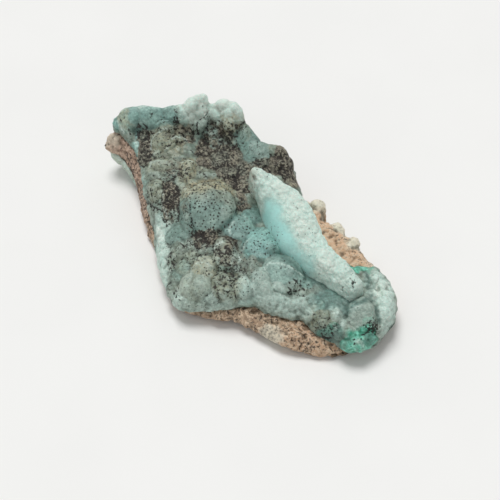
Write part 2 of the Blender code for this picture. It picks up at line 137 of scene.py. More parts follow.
# Height of the join between the crust and the matrix, as (x, y, z)
JOIN_SPOTS = [
    (-41, 4, 12.6), (-38, 4, 12.3), (-34, 2, 11), (-30, 0, 9.8), (-25, -4, 8), (-21, -7, 6),
    (-17, -10, 4), (-13, -13, 3), (-7, -18, 2.6), (0, -22, 2.8), (5, -21, 4), (9, -18, 4.6), (14, -14, 5),
    (20, -12, 5.2), (26, -10, 5.4), (31, -11, 4.6), (37, -9, 3.4), (41, -6, 3), (41, 0, 3), (39, 5, 4.4),
    (35, 9, 6), (30, 10, 7), (24, 8, 7.6), (18, 10, 8), (12, 13, 8), (6, 17, 8.2), (0, 20, 8.5),
    (-8, 21, 8.5), (-16, 22, 8.5), (-24, 19, 9), (-30, 15, 9.8), (-36, 11, 11), (-40, 7, 12), (-30, 7, 8.5),
    (-20, 5, 7), (-10, 0, 6.5), (0, 0, 6.5), (10, 0, 6.5), (20, -1, 6.5), (30, 0, 5.5), (-5, -10, 5.5),
    (8, -9, 6), (-15, 12, 7), (0, 10, 7.5)]

# Back wall: its height above the basin floor at points along X
WALL_RISE = [
    (-42.6, 1), (-40, 3), (-37, 4.5), (-34, 5.5), (-30.5, 6.5), (-28, 8), (-25.5, 8.8),
    (-23.4, 7.4), (-20.5, 8), (-17.5, 8), (-14.8, 4.2), (-12.5, 1.8), (-9, 0.8), (-5, 0.8), (0, 0.4),
    (3, 0)]

# Ridge: points along its back, as (x, y, half width, height, flare of its front foot)
RIDGE_PATH = [
    (-0.3, 7.5, 1.1, 22.1, 1.3), (2.2, 7.4, 2.5, 21.1, 1.4), (4.5, 7.3, 3.3, 20.4, 1.6),
    (8, 7.2, 4.2, 19.5, 2.3), (10.8, 6.2, 4.6, 18.7, 2), (14.5, 4.2, 4.6, 17.4, 1.5),
    (18, 2.9, 4, 16.3, 1.4), (22, 1.8, 3.4, 15.4, 1), (25.2, 1.6, 2.9, 14.7, 0.4),
    (28, 1.5, 2.6, 13.8, 0.2), (30.5, 1.1, 2.3, 13, 0.2), (31.6, 0.8, 1.9, 12.7, 0.2)]

# Where the ridge's pale top ends and its translucent front begins, as (x, y) pairs
FLANK_TOP = [
    (2, 1), (3.6, 3.3), (5.4, 5.5), (8.2, 5.2), (9.9, 3.6), (11.8, 2.8), (14.6, 0.9), (17.1, 0),
    (21, -0.3), (22.5, -1.2), (26, -4.5)]

# Underside: how high its left end is raised, as (x, z) pairs
LEFT_RAISE = [
    (-42.6, 6.4), (-38, 5.4), (-34, 3.6), (-30, 1.4), (-27.5, 0)]

# Form of the ridge round that line
RIDGE_SQUARENESS = 3.5      # exponent of its section and ends: 2 is round, more is squarer
RIDGE_TIP = 1.5             # exponent of its left tip in plan: 1 is a straight point
RIDGE_ENDS = (3.4, 2.2)     # length over which its left and its right end close
RIDGE_LEAN = (4.0, 11.0)    # how far the left tip hangs over its foot, and the length of that
RIDGE_SINK = 1.3            # how far its foot goes down into the crust
RIDGE_TILT = 0.16           # how much higher its back side stands, as a slope
RIDGE_BOWL = 0.5            # depth of its hidden bottom
RIDGE_THINNEST = 0.15       # least half width
RIDGE_FOOT_POINTS = 14      # points along its hidden bottom
RIDGE_FOOT_TURN = 0.18      # how far below level its sides go, as a share of half a turn
RIDGE_TIP_LOOK = (0.8, 2.5)     # x where the left tip's own look begins, and its fade: partly cream, partly painted light
RIDGE_END_LOOK = (27.0, 4.0)    # the same for the painted shade, a deep green, at the lower end

# Grids, as (sections along X, points over the top, points under the bottom)
CRUST_COUNTS = (410, 200, 30)
MATRIX_COUNTS = (330, 130, 80)
PATCH_COUNTS = (70, 30, 60)
RIDGE_COUNTS = (270, 170)   # sections along the path, points round one
PROBE_LINES = 50            # lines along X on which the steepness is read
STEEP_SHARE = 85            # percentile of those that counts
STEEP_MOST = 3.0            # slope beyond which sections get no closer
SLOPE_CLOSER = 0.45         # how much closer the sections lie for a slope of 1
TIP_CLOSER, TIP_REACH = 1.5, 1.2    # how much closer at the tips, and how far that reaches
SECTION_BLUR = 12           # times that the closeness is averaged
EVEN_SHARE = 0.88           # points lie evenly by length by this share, the rest by angle
EVEN_BLUR = 14              # times that this is averaged over the sections
RIDGE_FINE = 400            # points on the ridge's smooth path
RIDGE_BLUR, HEADING_BLUR = 90, 200  # times that the path and its heading are averaged
RIDGE_EVEN = 0.75           # share of even spacing; the rest is closer at the ends

# Roughness of the crust, as (amount in grain heights, cell, seed, kind of noise, share that only
# rough ground has, share that smooth ground loses)
CRUST_SHAKES = [
    (3.2, 4.2, 20, "cloudy", 0.0, 0.0), (2.0, 2.6, 23, "knobs", 0.0, 0.9),
    (1.5, 1.25, 24, "knobs", 0.0, 0.85), (1.5, 1.7, 21, "cloudy", 0.0, 0.6),
    (2.3, 0.75, 22, "cloudy", 0.5, 0.7)]
# The same for the ridge, ending in (share all over, share on its pale top alone)
RIDGE_SHAKES = [
    (3.4, 4.5, 30, "cloudy", 1.0, 0.0), (1.3, 2.6, 31, "knobs", 0.1, 1.0),
    (1.5, 1.4, 34, "knobs", 0.0, 1.0), (1.1, 0.8, 32, "billows", 0.0, 1.0),
    (0.9, 0.5, 33, "cloudy", 0.0, 1.0)]
# The matrix's, in rock grain heights, and the pale crust's, in millimetres, without those shares
MATRIX_SHAKES = [(1.6, 3.2, 41), (1.4, 1.3, 42), (0.9, 0.7, 43)]
PATCH_SHAKES = [(0.2, 1.6, 50, "knobs"), (0.08, 0.9, 51, "cloudy")]
CRUST_SOFTER, RIDGE_SOFTER = 3, 2       # times that the surface is averaged under its lumps
CRUST_SEED, RIDGE_SEED, MATRIX_SEED = 5, 9, 7       # of the lumps' chance differences

# Where the finishes change, with noises as (cell, seed)
FLANK_WANDER = (1.2, 2.2, 35)   # how far the edge of the ridge's pale top wanders, cell, seed
FLANK_FADE, FLANK_END = 4.4, 26.0       # how wide that edge is, and the x where it ends
PINK_LEFT = (-16.0, 8.0)        # the matrix is pink left of this x, over this width
ORANGE_BACK = (6.0, 2.0, 3.0)   # and orange behind this y and right of this x, over this width
ORANGE_RIGHT = (20.0, 6.0, 0.7)         # and right of this x, over this width, this strongly
IRON_NOISE, OCHRE_NOISE = (5.0, 44), (3.0, 52)

# Noise on the grids
LATTICE_PRIMES = (73856093, 19349663, 83492791)     # they mix the numbers of a lattice corner
LATTICE_TABLE = 4096        # random numbers in one noise, a power of two

# How zones, lines and hollows are judged
ZONE_REACH, ZONE_FADE = 1.35, 0.75      # where a patch ends and how wide its edge is, in radii
ZONE_ABOVE, ZONE_BELOW = 1.5, 0.6       # how far over and under its height it stays full
ZONE_DEPTH = (1.2, 0.5)     # its fade in height: a constant, and a share of its length
STROKE_FLATNESS = 0.2       # how much heights count in the distance to a line
FINE_BLUR, BROAD_BLUR, ROCK_BLUR = 6, 40, 30    # times of averaging that hollows are read from

# Finishes: the noises, as (scale, detail, roughness, shift), and the scales of the cells
CLOUDS, FINE = (260.0, 4.0, 0.6), (1500.0, 3.0, 0.65)
GRIT, WEB = (1350.0, 4.0, 0.75, 0.23), (1700.0, 4.0, 0.72, 0.41)
COPPER, DUST = (900.0, 3.0, 0.6), (620.0, 4.0, 0.66, 0.31)
PATCHY, SUGAR = (420.0, 3.0, 0.6, 0.17), (2600.0, 3.0, 0.6)
DOT_CELLS, SUGAR_CELLS = 1350.0, 1500.0
ROCK_CLOUDS, ROCK_GRAIN = (330.0, 4.0, 0.65), (1300.0, 4.0, 0.7)
IRON_SPECKS, ROCK_RELIEF = (1700.0, 4.0, 0.7, 0.4), (2400.0, 4.0, 0.7)
FLOOR_CLOUDS = (30.0, 2.0)
ROCK_DEPTH = 1.6            # depth of the rock's relief, as a share of the sugar's

# Stage, in metres
SENSOR = 36.0               # width of the camera's sensor, in millimetres
LOOKED_AT = (0.00139, 0.00239, 0.0)
FLOOR_SIDE, FLOOR_DROP = 4.0, 0.00005
FLOOR_DARKER = 0.985        # the floor's darker clouds, as a share of its colour
KEY_SPREAD = float(np.radians(28.0))
KEY_FROM = (-0.3, 0.17, 1.0)    # towards the main light
FRONT_SPREAD = float(np.radians(100.0))
FRONT_FROM = (0.1, -1.0, 0.75)  # towards the weak light from the front
BOX_LOW, BOX_HIGH = (np.array(corner, float) for corner in CAD_BOX)

DOME_MARK = 0.02    # height by which the main domes count as lumps, so that each gets a tint

# Main domes, as (x, y, half length, half width, turn of the long way in degrees, height)
DOMES = [
    (-7.2, -2.2, 7.3, 6.6, -52, 2.6), (1.7, -2.1, 3.7, 3.5, 38, 0.9), (8.2, -2.4, 4.7, 4.2, -17, 1.1),
    (16.8, -5.4, 5, 4.3, -11, 1.7), (3.3, -9.2, 4.3, 2.8, -52, 1.9), (1.7, -15.1, 3.4, 2.8, -52, 1.8),
    (2.1, -19.4, 4.1, 3.3, 62, 1.6), (14.5, -10.4, 4, 2.3, -52, 1.7), (36.3, -2.5, 4, 3.3, -52, 2.2),
    (-29.1, 8, 3.4, 3.1, -52, 1.9), (-19.1, 20.2, 4.3, 4, -52, 1.3), (-25.6, 16.1, 3.4, 2.8, -52, 1.2)]

# Smaller lumps grown on the crust, by region, as (x, y, half length, half width, turn, height)
LUMPS = [
    # Back wall
    (-40.7, 4.1, 2.1, 1.2, -52, 0.64), (-38.4, 6.1, 4, 2.6, -52, 0.56), (-34.3, 9.4, 3.7, 3.3, -52, 0.54),
    (-37.2, 10.3, 2.6, 1.2, 38, 0.45), (-32, 13.5, 2.1, 1.5, 38, 0.56), (-30.2, 12.3, 2.8, 1.9, -52, 0.54),
    (-27.7, 13.7, 2.5, 1.4, -52, 0.72), (-27.1, 15.5, 2.8, 1.9, -52, 0.72),
    (-26.4, 17.6, 2.1, 1.9, -52, 0.56), (-24.7, 18.9, 2.5, 1.4, -52, 0.64),
    (-21.8, 17.8, 3.7, 1.9, -52, 0.72), (-21.4, 20.8, 1.9, 1.8, 38, 0.54), (-16.1, 22, 3.1, 1.4, -52, 0.64),
    (-18.9, 19.1, 2.3, 1.8, 38, 0.56),
    # Left edge
    (-38.3, 3.8, 1.6, 1.1, -21, 0.45), (-36, 3.7, 1.4, 1, -30, 0.45), (-33.5, 2.9, 1.8, 0.9, -52, 0.45),
    (-31.1, 0.8, 2.1, 0.7, -52, 0.36), (-27.3, -2.2, 2.8, 1.2, -52, 0.54),
    (-24.6, -4.8, 2.8, 1.2, -52, 0.54), (-21, -7.8, 2.4, 1.2, -40, 0.54),
    (-16.7, -9.4, 1.8, 1.6, -52, 0.56), (-13.6, -12.4, 4, 1.4, -49, 0.56),
    (-9.9, -16.1, 3.4, 1.2, -52, 0.56), (-6.8, -19.1, 3.1, 1.4, -52, 0.54),
    (-2.9, -21.7, 2.7, 1.4, -40, 0.54), (1.3, -23.1, 2.1, 1.5, 38, 0.54),
    # Upper left basin
    (-27.7, 3.8, 1.5, 1.4, -52, 0.72), (-24.4, 2.5, 3.5, 1.8, 38, 1), (-25.1, 6.6, 2.3, 2.1, 38, 0.88),
    (-18.8, 4.5, 3.4, 1.9, -52, 1.2), (-21.1, 1.1, 1.5, 1.4, -52, 0.72), (-23.7, -0.9, 1.4, 1.2, 38, 0.56),
    (-33.2, 6, 1.8, 1.2, -52, 0.45), (-31.5, 3.6, 1.5, 0.9, -52, 0.45), (-29.3, 1.4, 2.1, 0.9, -52, 0.45),
    (-22.5, 9.4, 1.8, 1.6, -52, 0.64), (-25.5, 12.3, 1.8, 1.2, -52, 0.56), (-25.8, -1, 1.5, 1.2, -52, 0.56),
    # Upper basin
    (-23.6, 15, 2.1, 1.4, -52, 0.8), (-19.6, 15.3, 2.8, 2.3, -52, 0.96), (-17.6, 18.2, 2.1, 1.9, -52, 0.8),
    (-19.5, 11.7, 1.9, 1.8, 38, 0.64), (-16, 13.8, 1.9, 1.8, 38, 0.56), (-12.4, 14.7, 2.1, 1.9, -52, 0.64),
    (-11.4, 18.4, 5.2, 2.8, -52, 1), (-17.5, 9, 2.1, 2.1, -52, 0.64), (-14.7, 10.7, 2.1, 2.1, -52, 0.54),
    (-11.7, 11.8, 2.1, 1.9, -52, 0.54), (-10.6, 9, 3.1, 1.8, 38, 0.64), (-14.4, 5.9, 2.6, 1.8, 38, 0.64),
    (-8.3, 11.7, 2.5, 1.6, -52, 0.54), (-5.6, 8.7, 2.8, 1.6, -52, 0.54), (-1.7, 5.2, 2.5, 1.4, -52, 0.45),
    (-7.6, 18.9, 3.1, 2.1, -52, 0.8), (-5.5, 16.5, 1.6, 1.5, 38, 0.56), (-5.9, 20.5, 2.1, 1.6, -52, 0.64),
    (-3.9, 21.8, 2.3, 2.1, 38, 0.88), (-3.1, 18, 2.1, 1.8, 38, 0.64), (-0.7, 19.9, 2.8, 1.6, -52, 0.64),
    (0.6, 17.8, 1.6, 1.5, 38, 0.54),
    # Left basin
    (-21.7, -4.1, 2.8, 2.1, -52, 0.88), (-18.3, -2.7, 2.1, 1.9, -52, 0.64),
    (-15.7, -4.7, 1.8, 1.6, -52, 0.56), (-17.7, -5.6, 5.8, 0.7, -49, 0.96), (-18.8, -8, 1.6, 1.5, 38, 0.56),
    (-14, -6.7, 2.1, 1.4, -52, 0.56), (-11.4, -5.9, 2.5, 1.9, -52, 0.72), (-9.3, -10.7, 3.5, 2.8, 38, 0.72),
    (-9, -7.3, 1.5, 1.4, -52, 0.54), (-3.8, -10.1, 2.1, 1.9, -52, 0.72), (-2.1, -7.9, 2.1, 1.9, -52, 0.64),
    (-1.1, -10.9, 2.1, 1.8, 38, 0.64), (-4.7, -11.8, 2.1, 1.9, -52, 0.56),
    (-2.4, -13.6, 1.8, 1.6, -52, 0.64), (-6.9, -13.6, 2.8, 1.9, -52, 0.72),
    (-6.5, -16.2, 2.1, 1.4, -52, 0.56), (-3.2, -16.3, 2.1, 1.9, -52, 0.64),
    # Dome
    (-10.8, 2.9, 5.6, 2.8, 38, 0.36), (-12.1, 1.9, 2.6, 1.8, 47, 0.45), (-13.9, -1.6, 2.5, 1.4, -52, 0.54),
    (-4.5, 2.4, 3.1, 1.9, -52, 0.45),
    # Blue middle
    (-2.2, -1.2, 2.2, 1.8, -66, 0.56), (1.8, 2.6, 2.5, 2.3, -52, 0.72), (1.9, 3.5, 2.5, 1.6, -52, 0.56),
    (11.7, -2.4, 2.4, 1.9, -24, 0.64),
    # Front lumps
    (0, -19.5, 4, 1.9, -52, 0.96), (4.2, -18.9, 2.8, 2.3, -52, 0.88), (7.7, -15.8, 3.7, 2.8, -52, 1),
    (7.7, -10, 4, 1.9, -52, 0.96), (11.9, -13.2, 2.8, 2.1, -52, 1.1), (10.8, -9, 3.7, 1.6, -52, 0.72),
    (7.3, -18.9, 1.9, 1.5, 38, 0.56), (10.6, -17, 2.1, 1.5, 38, 0.56), (3, -12.8, 1.8, 1.4, -52, 0.56),
    # Front rim
    (3.8, -22.3, 2.1, 1.2, 38, 0.45), (6.3, -20.5, 1.9, 1.2, 38, 0.45), (8.9, -18.8, 2.1, 1.2, 38, 0.45),
    (11.5, -17, 2.1, 1.2, 38, 0.45), (13.6, -14.7, 2.1, 1.5, 38, 0.54), (16, -13.4, 1.9, 1.8, 38, 0.54),
    # Middle right
    (18.2, -9.8, 2.1, 2.1, -52, 0.56), (21, -7.3, 1.9, 1.8, 38, 0.45), (22.2, -4.1, 1.9, 1.8, 38, 0.45),
    (23.2, -6.1, 1.6, 1.5, 38, 0.36), (25.3, -3.9, 2.1, 1.9, -52, 0.45), (28.7, -4, 2.9, 2.4, 12, 0.54),
    (31.4, -3.6, 2.1, 1.6, -52, 0.54), (25.6, -6.1, 2.1, 1.8, 38, 0.54), (20.7, -11.2, 2.9, 2.4, 64, 0.88),
    (24, -9.1, 2.5, 2.3, -52, 0.88), (26.3, -9.5, 2.1, 1.8, 38, 0.64), (23.1, -11.4, 2.3, 1.5, 38, 0.56),
    (18.1, -12.5, 2, 1.7, -90, 0.56), (27.7, -7.1, 2.1, 2.1, -52, 0.64),
    # Right end
    (29.9, -9.2, 2.8, 2.1, -52, 0.96), (32.2, -10.1, 2.1, 1.8, 38, 0.64), (30.2, -5.2, 1.2, 1.2, -52, 0.72),
    (32.1, -6.3, 2.1, 1.4, -52, 0.88), (34.3, -6.7, 1.5, 0.9, -52, 0.64), (32.9, -8.5, 1.5, 1.2, -52, 0.64),
    (33, -4.2, 1.5, 0.9, -52, 0.54), (34.6, -9, 1.8, 1.6, -52, 0.56), (36.5, -7.6, 1.6, 1.5, 38, 0.54),
    (36.6, -1.1, 1.9, 1.5, 38, 0.56), (34.9, -5, 1.8, 1.2, -52, 0.45), (39.8, 2.1, 4, 2.1, -46, 0.96),
    (41.3, -1.1, 2.5, 1.6, -52, 0.64), (38.3, 5.5, 2.5, 1.4, -52, 0.72), (36.3, 3.3, 1.8, 1.6, -52, 0.72),
    (33, 6.9, 2.1, 1.2, -52, 0.88), (35.3, 6.8, 1.8, 1.4, -52, 0.8), (34.8, 0.8, 1.5, 1.4, -52, 0.72),
    (34.7, 4.1, 1.2, 1.2, -52, 0.64), (33.7, 8.6, 1.5, 1.2, -52, 0.64), (31.4, 9.2, 1.8, 1.6, -52, 0.64),
    (28.5, 8.3, 1.9, 1.5, 38, 0.72), (39.5, -7.7, 2.3, 2.1, 38, 0.88), (38.1, -9.3, 2, 1.4, 1, 0.64),
    (41, -5.2, 1.5, 1.4, -52, 0.64), (39.4, -3.7, 1.9, 1.5, 38, 0.54)]

# Small lumps that ride on those
TOP_LUMPS = [
    # Ear
    (-27.2, 11, 2.2, 1.5, 64, 0.72), (-29.7, 7.4, 2.8, 1.9, -52, 0.45), (-26.7, 7.4, 2.5, 1.2, 10, 0.45),
    # Wall
    (-25.4, 19.4, 1.5, 1.4, -52, 0.45), (-26.1, 15.6, 1.8, 1.4, -52, 0.45),
    (-24, 16.7, 1.5, 1.4, -52, 0.45), (-20.5, 19.7, 2.1, 1.9, -52, 0.45), (-17, 20.5, 2.1, 1.6, -52, 0.45),
    (-18.6, 19.5, 1.6, 1.5, 38, 0.36), (-40, 6.5, 1.8, 1.4, -52, 0.27), (-37.1, 7.1, 2.1, 1.6, -52, 0.27),
    (-35.1, 8.4, 1.8, 1.4, -52, 0.27), (-33, 11.3, 1.8, 1.4, -52, 0.27), (-32, 10.3, 1.5, 1.2, -52, 0.27),
    # Basin
    (-19.2, 5.8, 1.5, 0.9, -52, 0.36), (-17.9, 2.8, 1.5, 0.9, -52, 0.36),
    (-19.8, 14.7, 1.5, 1.2, -52, 0.54), (-19.6, 17.2, 1.2, 0.9, -52, 0.45),
    (-18.9, 18.2, 1.2, 0.9, -52, 0.36), (-16.6, 17.7, 1.2, 0.9, -52, 0.36),
    (-13, 19.2, 2.1, 1.4, -52, 0.36), (-9.5, 17.8, 2.1, 1.4, -52, 0.36), (-26, 2.1, 1.4, 1.2, 38, 0.36),
    (-22.9, 3.6, 1.4, 1.2, 38, 0.36), (-21.4, -3.3, 1.5, 1.2, -52, 0.45), (-22, -5.2, 1.5, 1.2, -52, 0.45),
    # Front
    (1, -8.4, 1.8, 1.4, -52, 0.45), (4.4, -9.1, 1.5, 1.2, -52, 0.36), (0, -15.1, 1.5, 1.2, -52, 0.36),
    (2.8, -15.4, 1.5, 1.4, -52, 0.36), (5.9, -15.7, 1.5, 1.2, -52, 0.45), (7.9, -14.2, 1.5, 1.2, -52, 0.45),
    (8.6, -16.9, 1.5, 1.4, -52, 0.36), (7.3, -8.8, 1.5, 0.9, -52, 0.36), (8.4, -11.6, 1.5, 0.9, -52, 0.36),
    (10.9, -13, 1.5, 1.2, -52, 0.36), (13, -13.2, 1.5, 1.2, -52, 0.36),
    # Right
    (13.2, -6.3, 1.6, 1.5, 38, 0.36), (15.2, -4.8, 1.8, 1.6, -52, 0.27), (18.3, -4.5, 1.8, 1.4, -52, 0.36),
    (13.5, -10.2, 1.8, 1.4, -52, 0.36), (16.4, -10.8, 1.5, 1.4, -52, 0.36),
    (20.2, -11.3, 1.5, 1.4, -52, 0.36), (23.2, -9.1, 1.5, 1.4, -52, 0.36), (35.4, -3, 1.9, 1.2, 38, 0.36),
    (37.4, -2.5, 1.6, 1.5, 38, 0.36), (34.9, -3.9, 1.8, 1.2, -52, 0.27), (38.2, 3.3, 1.8, 1.2, -52, 0.45),
    (41, 0.9, 1.8, 1.2, -52, 0.45), (38.8, -7.7, 1.2, 1.2, -52, 0.45), (40.5, -7.2, 1.2, 1.2, -52, 0.45),
    (41.2, -5.1, 1.2, 0.9, -52, 0.45), (32.9, 6.4, 1.3, 1, 40, 0.5), (34.7, 6.5, 1.3, 1.1, -50, 0.6),
    (35.6, 4.3, 1.5, 1.2, 40, 0.65), (37, 5.2, 1.4, 1.1, -50, 0.6), (37.4, 2.6, 1.5, 1.2, 40, 0.6),
    (39.4, 3.6, 1.5, 1.1, -50, 0.65), (39.2, 0.8, 1.4, 1.1, 40, 0.55), (41, -0.5, 1.4, 1, -50, 0.5)]

# Lumps on the ridge, in the same way
RIDGE_LUMPS = [
    (5, 8, 4.1, 2, -14, 0.3), (9, 8, 2.9, 2.3, -41, 0.4), (12.2, 2.6, 2.8, 2.1, -52, 0.3),
    (16.3, 4.2, 2.9, 2.5, -28, 0.3), (24, 0.4, 3, 2, -30, 0.6), (28, 1.4, 2.9, 2.2, -28, 0.5),
    (32, 0.6, 2.6, 2, -42, 0.5)]

# Lumps on the matrix: the grey ones at its back edge
MATRIX_LUMPS = [
    (9.4, 18.2, 2.4, 1.9, 40, 1.2), (17.4, 15.6, 2.3, 1.5, 0, 1.1),
    (22.6, 14.8, 1.9, 1.5, -20, 1), (13.6, 15, 1.5, 1.2, 0, 0.6), (34.2, 10.4, 1.6, 1, -30, 0.5),
    (21.8, -15.3, 3.2, 1.2, 20, 0.8), (27, -13.8, 2.4, 1, 20, 0.6), (15.6, -15.8, 2.2, 1, 10, 0.6)]

# Zones of colour, as (x, y, z, half length, half width, turn, strength)
MANGANESE = [
    (-34.3, 6.2, 13, 2.1, 2.1, -50, 0.9), (-29.1, 1.5, 12, 3.1, 1.6, -50, 1),
    (-31.6, 4, 13, 1.5, 1.4, -50, 0.7), (-31.1, 10.2, 15, 2.8, 1.2, 40, 0.6),
    (-28.9, 12.5, 16, 1.5, 0.9, -50, 0.9), (-24.6, 15.4, 13, 2.5, 2.1, -50, 0.5),
    (-23.2, 16.9, 17, 2.1, 0.7, -50, 0.8), (-19.5, 17.5, 13, 4.2, 3.1, 40, 0.4),
    (-15.1, 16.6, 13, 2.8, 2.8, 40, 0.6), (-15.6, 19.1, 16, 2.1, 1.8, 40, 0.6),
    (-19.7, 12, 12, 2.8, 2.1, -50, 0.4), (-12.6, 9.7, 13, 6.1, 3.1, 40, 0.35),
    (-7, 9.4, 13, 4.9, 2.8, -50, 0.5), (-10.1, 7.7, 13, 3.8, 1.8, 40, 0.4),
    (-17.6, -3.5, 11, 4.9, 2.1, -50, 0.9), (-20.3, 0.5, 12, 2.8, 1.8, 40, 0.5),
    (-19.3, -6.6, 10, 2.5, 1.6, -50, 0.7), (-14, -7.1, 10, 2.8, 1.9, -50, 0.75),
    (-22.9, -4.5, 10, 3.1, 1.2, -50, 0.4), (-2.7, -8.9, 11, 4.2, 3.4, 40, 0.7),
    (-6.6, -7.7, 11, 1.9, 1.8, 40, 0.6), (3.2, -8, 11, 2.5, 1.6, -50, 0.65),
    (4, -11.1, 10, 4.3, 1.9, -50, 0.6), (-6.7, -16.3, 7, 2.8, 1.4, -50, 0.6),
    (-0.8, -21.7, 6, 1.5, 1.2, -50, 0.8), (-3.5, -20.2, 6, 0.9, 0.7, -50, 1),
    (8.1, -14.9, 9, 2.8, 2.8, 40, 0.6), (7.9, -11.4, 10, 3.7, 1.4, -50, 0.5),
    (6.1, -19.9, 7, 3.8, 1.5, 40, 0.25), (-3.1, -13.8, 9, 2.5, 2.3, -50, 0.4),
    (-17.1, 1.8, 12, 4.3, 1.2, -50, 0.3), (-1, 20, 13, 4, 3.3, -50, 0.6), (1.2, 9.3, 21, 3.3, 2.8, 40, 0.7),
    (-7.3, 16.2, 14, 2.5, 1.6, -50, 0.5), (21.3, -5.2, 10, 2.3, 2.3, 40, 0.35),
    (21.7, -6, 9, 1.9, 1.3, 0, 0.6), (-1.3, 3.9, 13, 2.2, 1.7, 40, 0.55),
    (32.6, -10.3, 6, 2.8, 1.5, 40, 0.6), (39.9, -3.3, 7, 1.8, 1.4, -10, 0.95),
    (31.4, 0.7, 13, 0.9, 0.7, -50, 1), (30.6, -9.5, 8, 1.2, 1.2, -50, 0.5),
    (34.7, -3.1, 11, 1.2, 0.9, -50, 0.3), (34.6, -4.9, 8, 2.5, 0.9, -50, 0.2),
    (-29.2, 7.9, 12, 3.4, 3.3, -50, 0.25), (-25.2, 2, 12, 2.8, 2.8, 40, 0.3),
    (-18.8, 4.5, 12, 3.4, 1.6, -50, 0.2), (-10.7, 2.1, 13, 6.1, 3.1, 40, 0.3)]
OCHRE = [
    (-39.2, 5.5, 17, 2.5, 1.6, -50, 0.6), (-17.1, 19.1, 16, 2.8, 2.1, 40, 0.8),
    (-14.2, 20.8, 17, 2.8, 1.2, -50, 0.6), (-10.7, 2.1, 13, 6.6, 3.7, 40, 0.95),
    (-18.3, 4.1, 12, 4.3, 2.1, -50, 0.7), (-21.1, -3.7, 11, 2.8, 2.1, -50, 0.5),
    (-28.3, 8.6, 12, 4.7, 4.3, 40, 0.7), (-25.2, 2, 12, 3.3, 3.1, 40, 0.35),
    (-16.3, 7.9, 13, 2.5, 2.3, -50, 0.4), (1.4, -14.7, 9, 3.1, 3.1, -50, 0.65),
    (8.7, -14.8, 9, 2.8, 2.8, 40, 0.65), (5.3, -15.2, 9, 3.1, 2.8, -50, 0.45),
    (30.2, -9, 8, 3.4, 2.6, -50, 0.55), (-4.3, 21.1, 14, 2.8, 1.8, 40, 0.6),
    (-8.8, 11.7, 13, 3.7, 3.3, -50, 0.2), (-4.4, -14.8, 8, 2.5, 2.3, -50, 0.3),
    (28.8, -4.1, 9, 1.5, 1.4, -50, 0.2), (2.1, -19.6, 7, 3.3, 2.8, 40, 0.3),
    (3.5, -9.7, 11, 3.7, 2.3, -50, 0.3)]
BROWN = [
    (-15.1, 12, 13, 6.1, 4, 40, 0.85), (-9.2, 10.7, 13, 4.6, 4.2, -50, 0.9),
    (-19.7, 12, 12, 3.7, 2.8, -50, 0.7), (-3.6, 17.1, 13, 4.7, 3.1, 40, 0.9),
    (-1.7, 19.6, 14, 3.7, 3.3, -50, 0.9), (1.8, 17.8, 12, 2.8, 1.9, -50, 0.8),
    (-5, 7.2, 12, 3.4, 2.1, -50, 0.7), (-31, 3.7, 13, 4.9, 2.3, -50, 1),
    (-25.7, 12.2, 13, 4.3, 2.3, -50, 0.5), (-21.1, 3, 12, 3.7, 2.3, -50, 0.4),
    (0, 4.9, 18, 3.7, 1.2, -50, 0.6), (7.8, -9.4, 11, 3.7, 2.1, -50, 0.25),
    (11, -9.2, 10, 3.7, 2.1, -50, 0.2), (10.6, -6.5, 11, 2.5, 1.9, -50, 0.2),
    (-17.2, -3.9, 11, 4.9, 1.9, -50, 0.7), (3.9, -8.2, 11, 3.7, 1.9, -50, 0.5),
    (-19.5, 17.5, 13, 4.2, 3.7, 40, 0.45), (-2.4, -8.6, 11, 3.3, 2.8, 40, 0.6),
    (-29.2, 7.9, 12, 2.8, 2.3, -50, 0.3), (-12.1, -5.4, 12, 2.1, 1.4, -50, 0.35),
    (3.5, -9.7, 11, 3.1, 1.9, -50, 0.3), (-1.3, 3.9, 13, 2.4, 1.9, 40, 0.5)]
AQUA = [
    (-39.4, 5, 17, 3.1, 2.3, -50, 0.7), (-36.5, 8.4, 18, 3.7, 3.3, -50, 0.75),
    (-32.3, 10.8, 18, 3.8, 3.7, 40, 0.7), (-21.4, 14.2, 13, 3, 2.5, 40, 0.25),
    (-27.3, 14, 17, 2.1, 1.6, -50, 0.5), (-11.4, 17.9, 14, 4.6, 3.1, -50, 0.45),
    (1.9, -2, 12, 3.8, 3.7, 40, 0.75), (8.6, -2.5, 12, 4.7, 4.3, 40, 1), (1.3, 3.3, 12, 2.8, 2.8, 40, 0.7),
    (-5.8, -4, 13, 4.2, 2.8, 40, 0.4), (-12.1, -5.4, 12, 2.8, 1.9, -50, 0.3),
    (-9.9, -9.9, 10, 3.8, 3.1, 40, 0.35), (-12.8, -13, 8, 5.5, 1.6, -50, 0.45),
    (21.4, -3.4, 10, 3.8, 2.1, 40, 0.6), (28.6, -3.9, 11, 4.7, 2.5, 40, 0.9),
    (32.2, -3.3, 11, 2.6, 2.1, 40, 0.8), (23.5, -2.3, 14, 2.8, 1.8, 40, 0.8),
    (-6.4, -6.1, 12, 3.3, 2.5, 40, 0.35), (12.1, -13.1, 9, 3.7, 2.8, -50, 0.35),
    (4.9, -12.3, 10, 2.5, 1.9, -50, 0.35), (-3.4, -16.4, 8, 2.8, 2.1, -50, 0.35),
    (-34.5, 3.8, 13, 4.3, 0.9, -60, 0.8), (-29.7, -0.1, 11, 6.1, 0.9, -50, 0.8),
    (-26.2, -3.7, 4, 5.5, 1.2, -50, 0.6), (13.4, -2.9, 11, 2.1, 1.6, -20, 0.8),
    (16.5, -5, 10, 4.2, 3.7, 40, 0.5), (-41.4, 4.2, 15, 1.8, 0.9, -50, 0.9)]
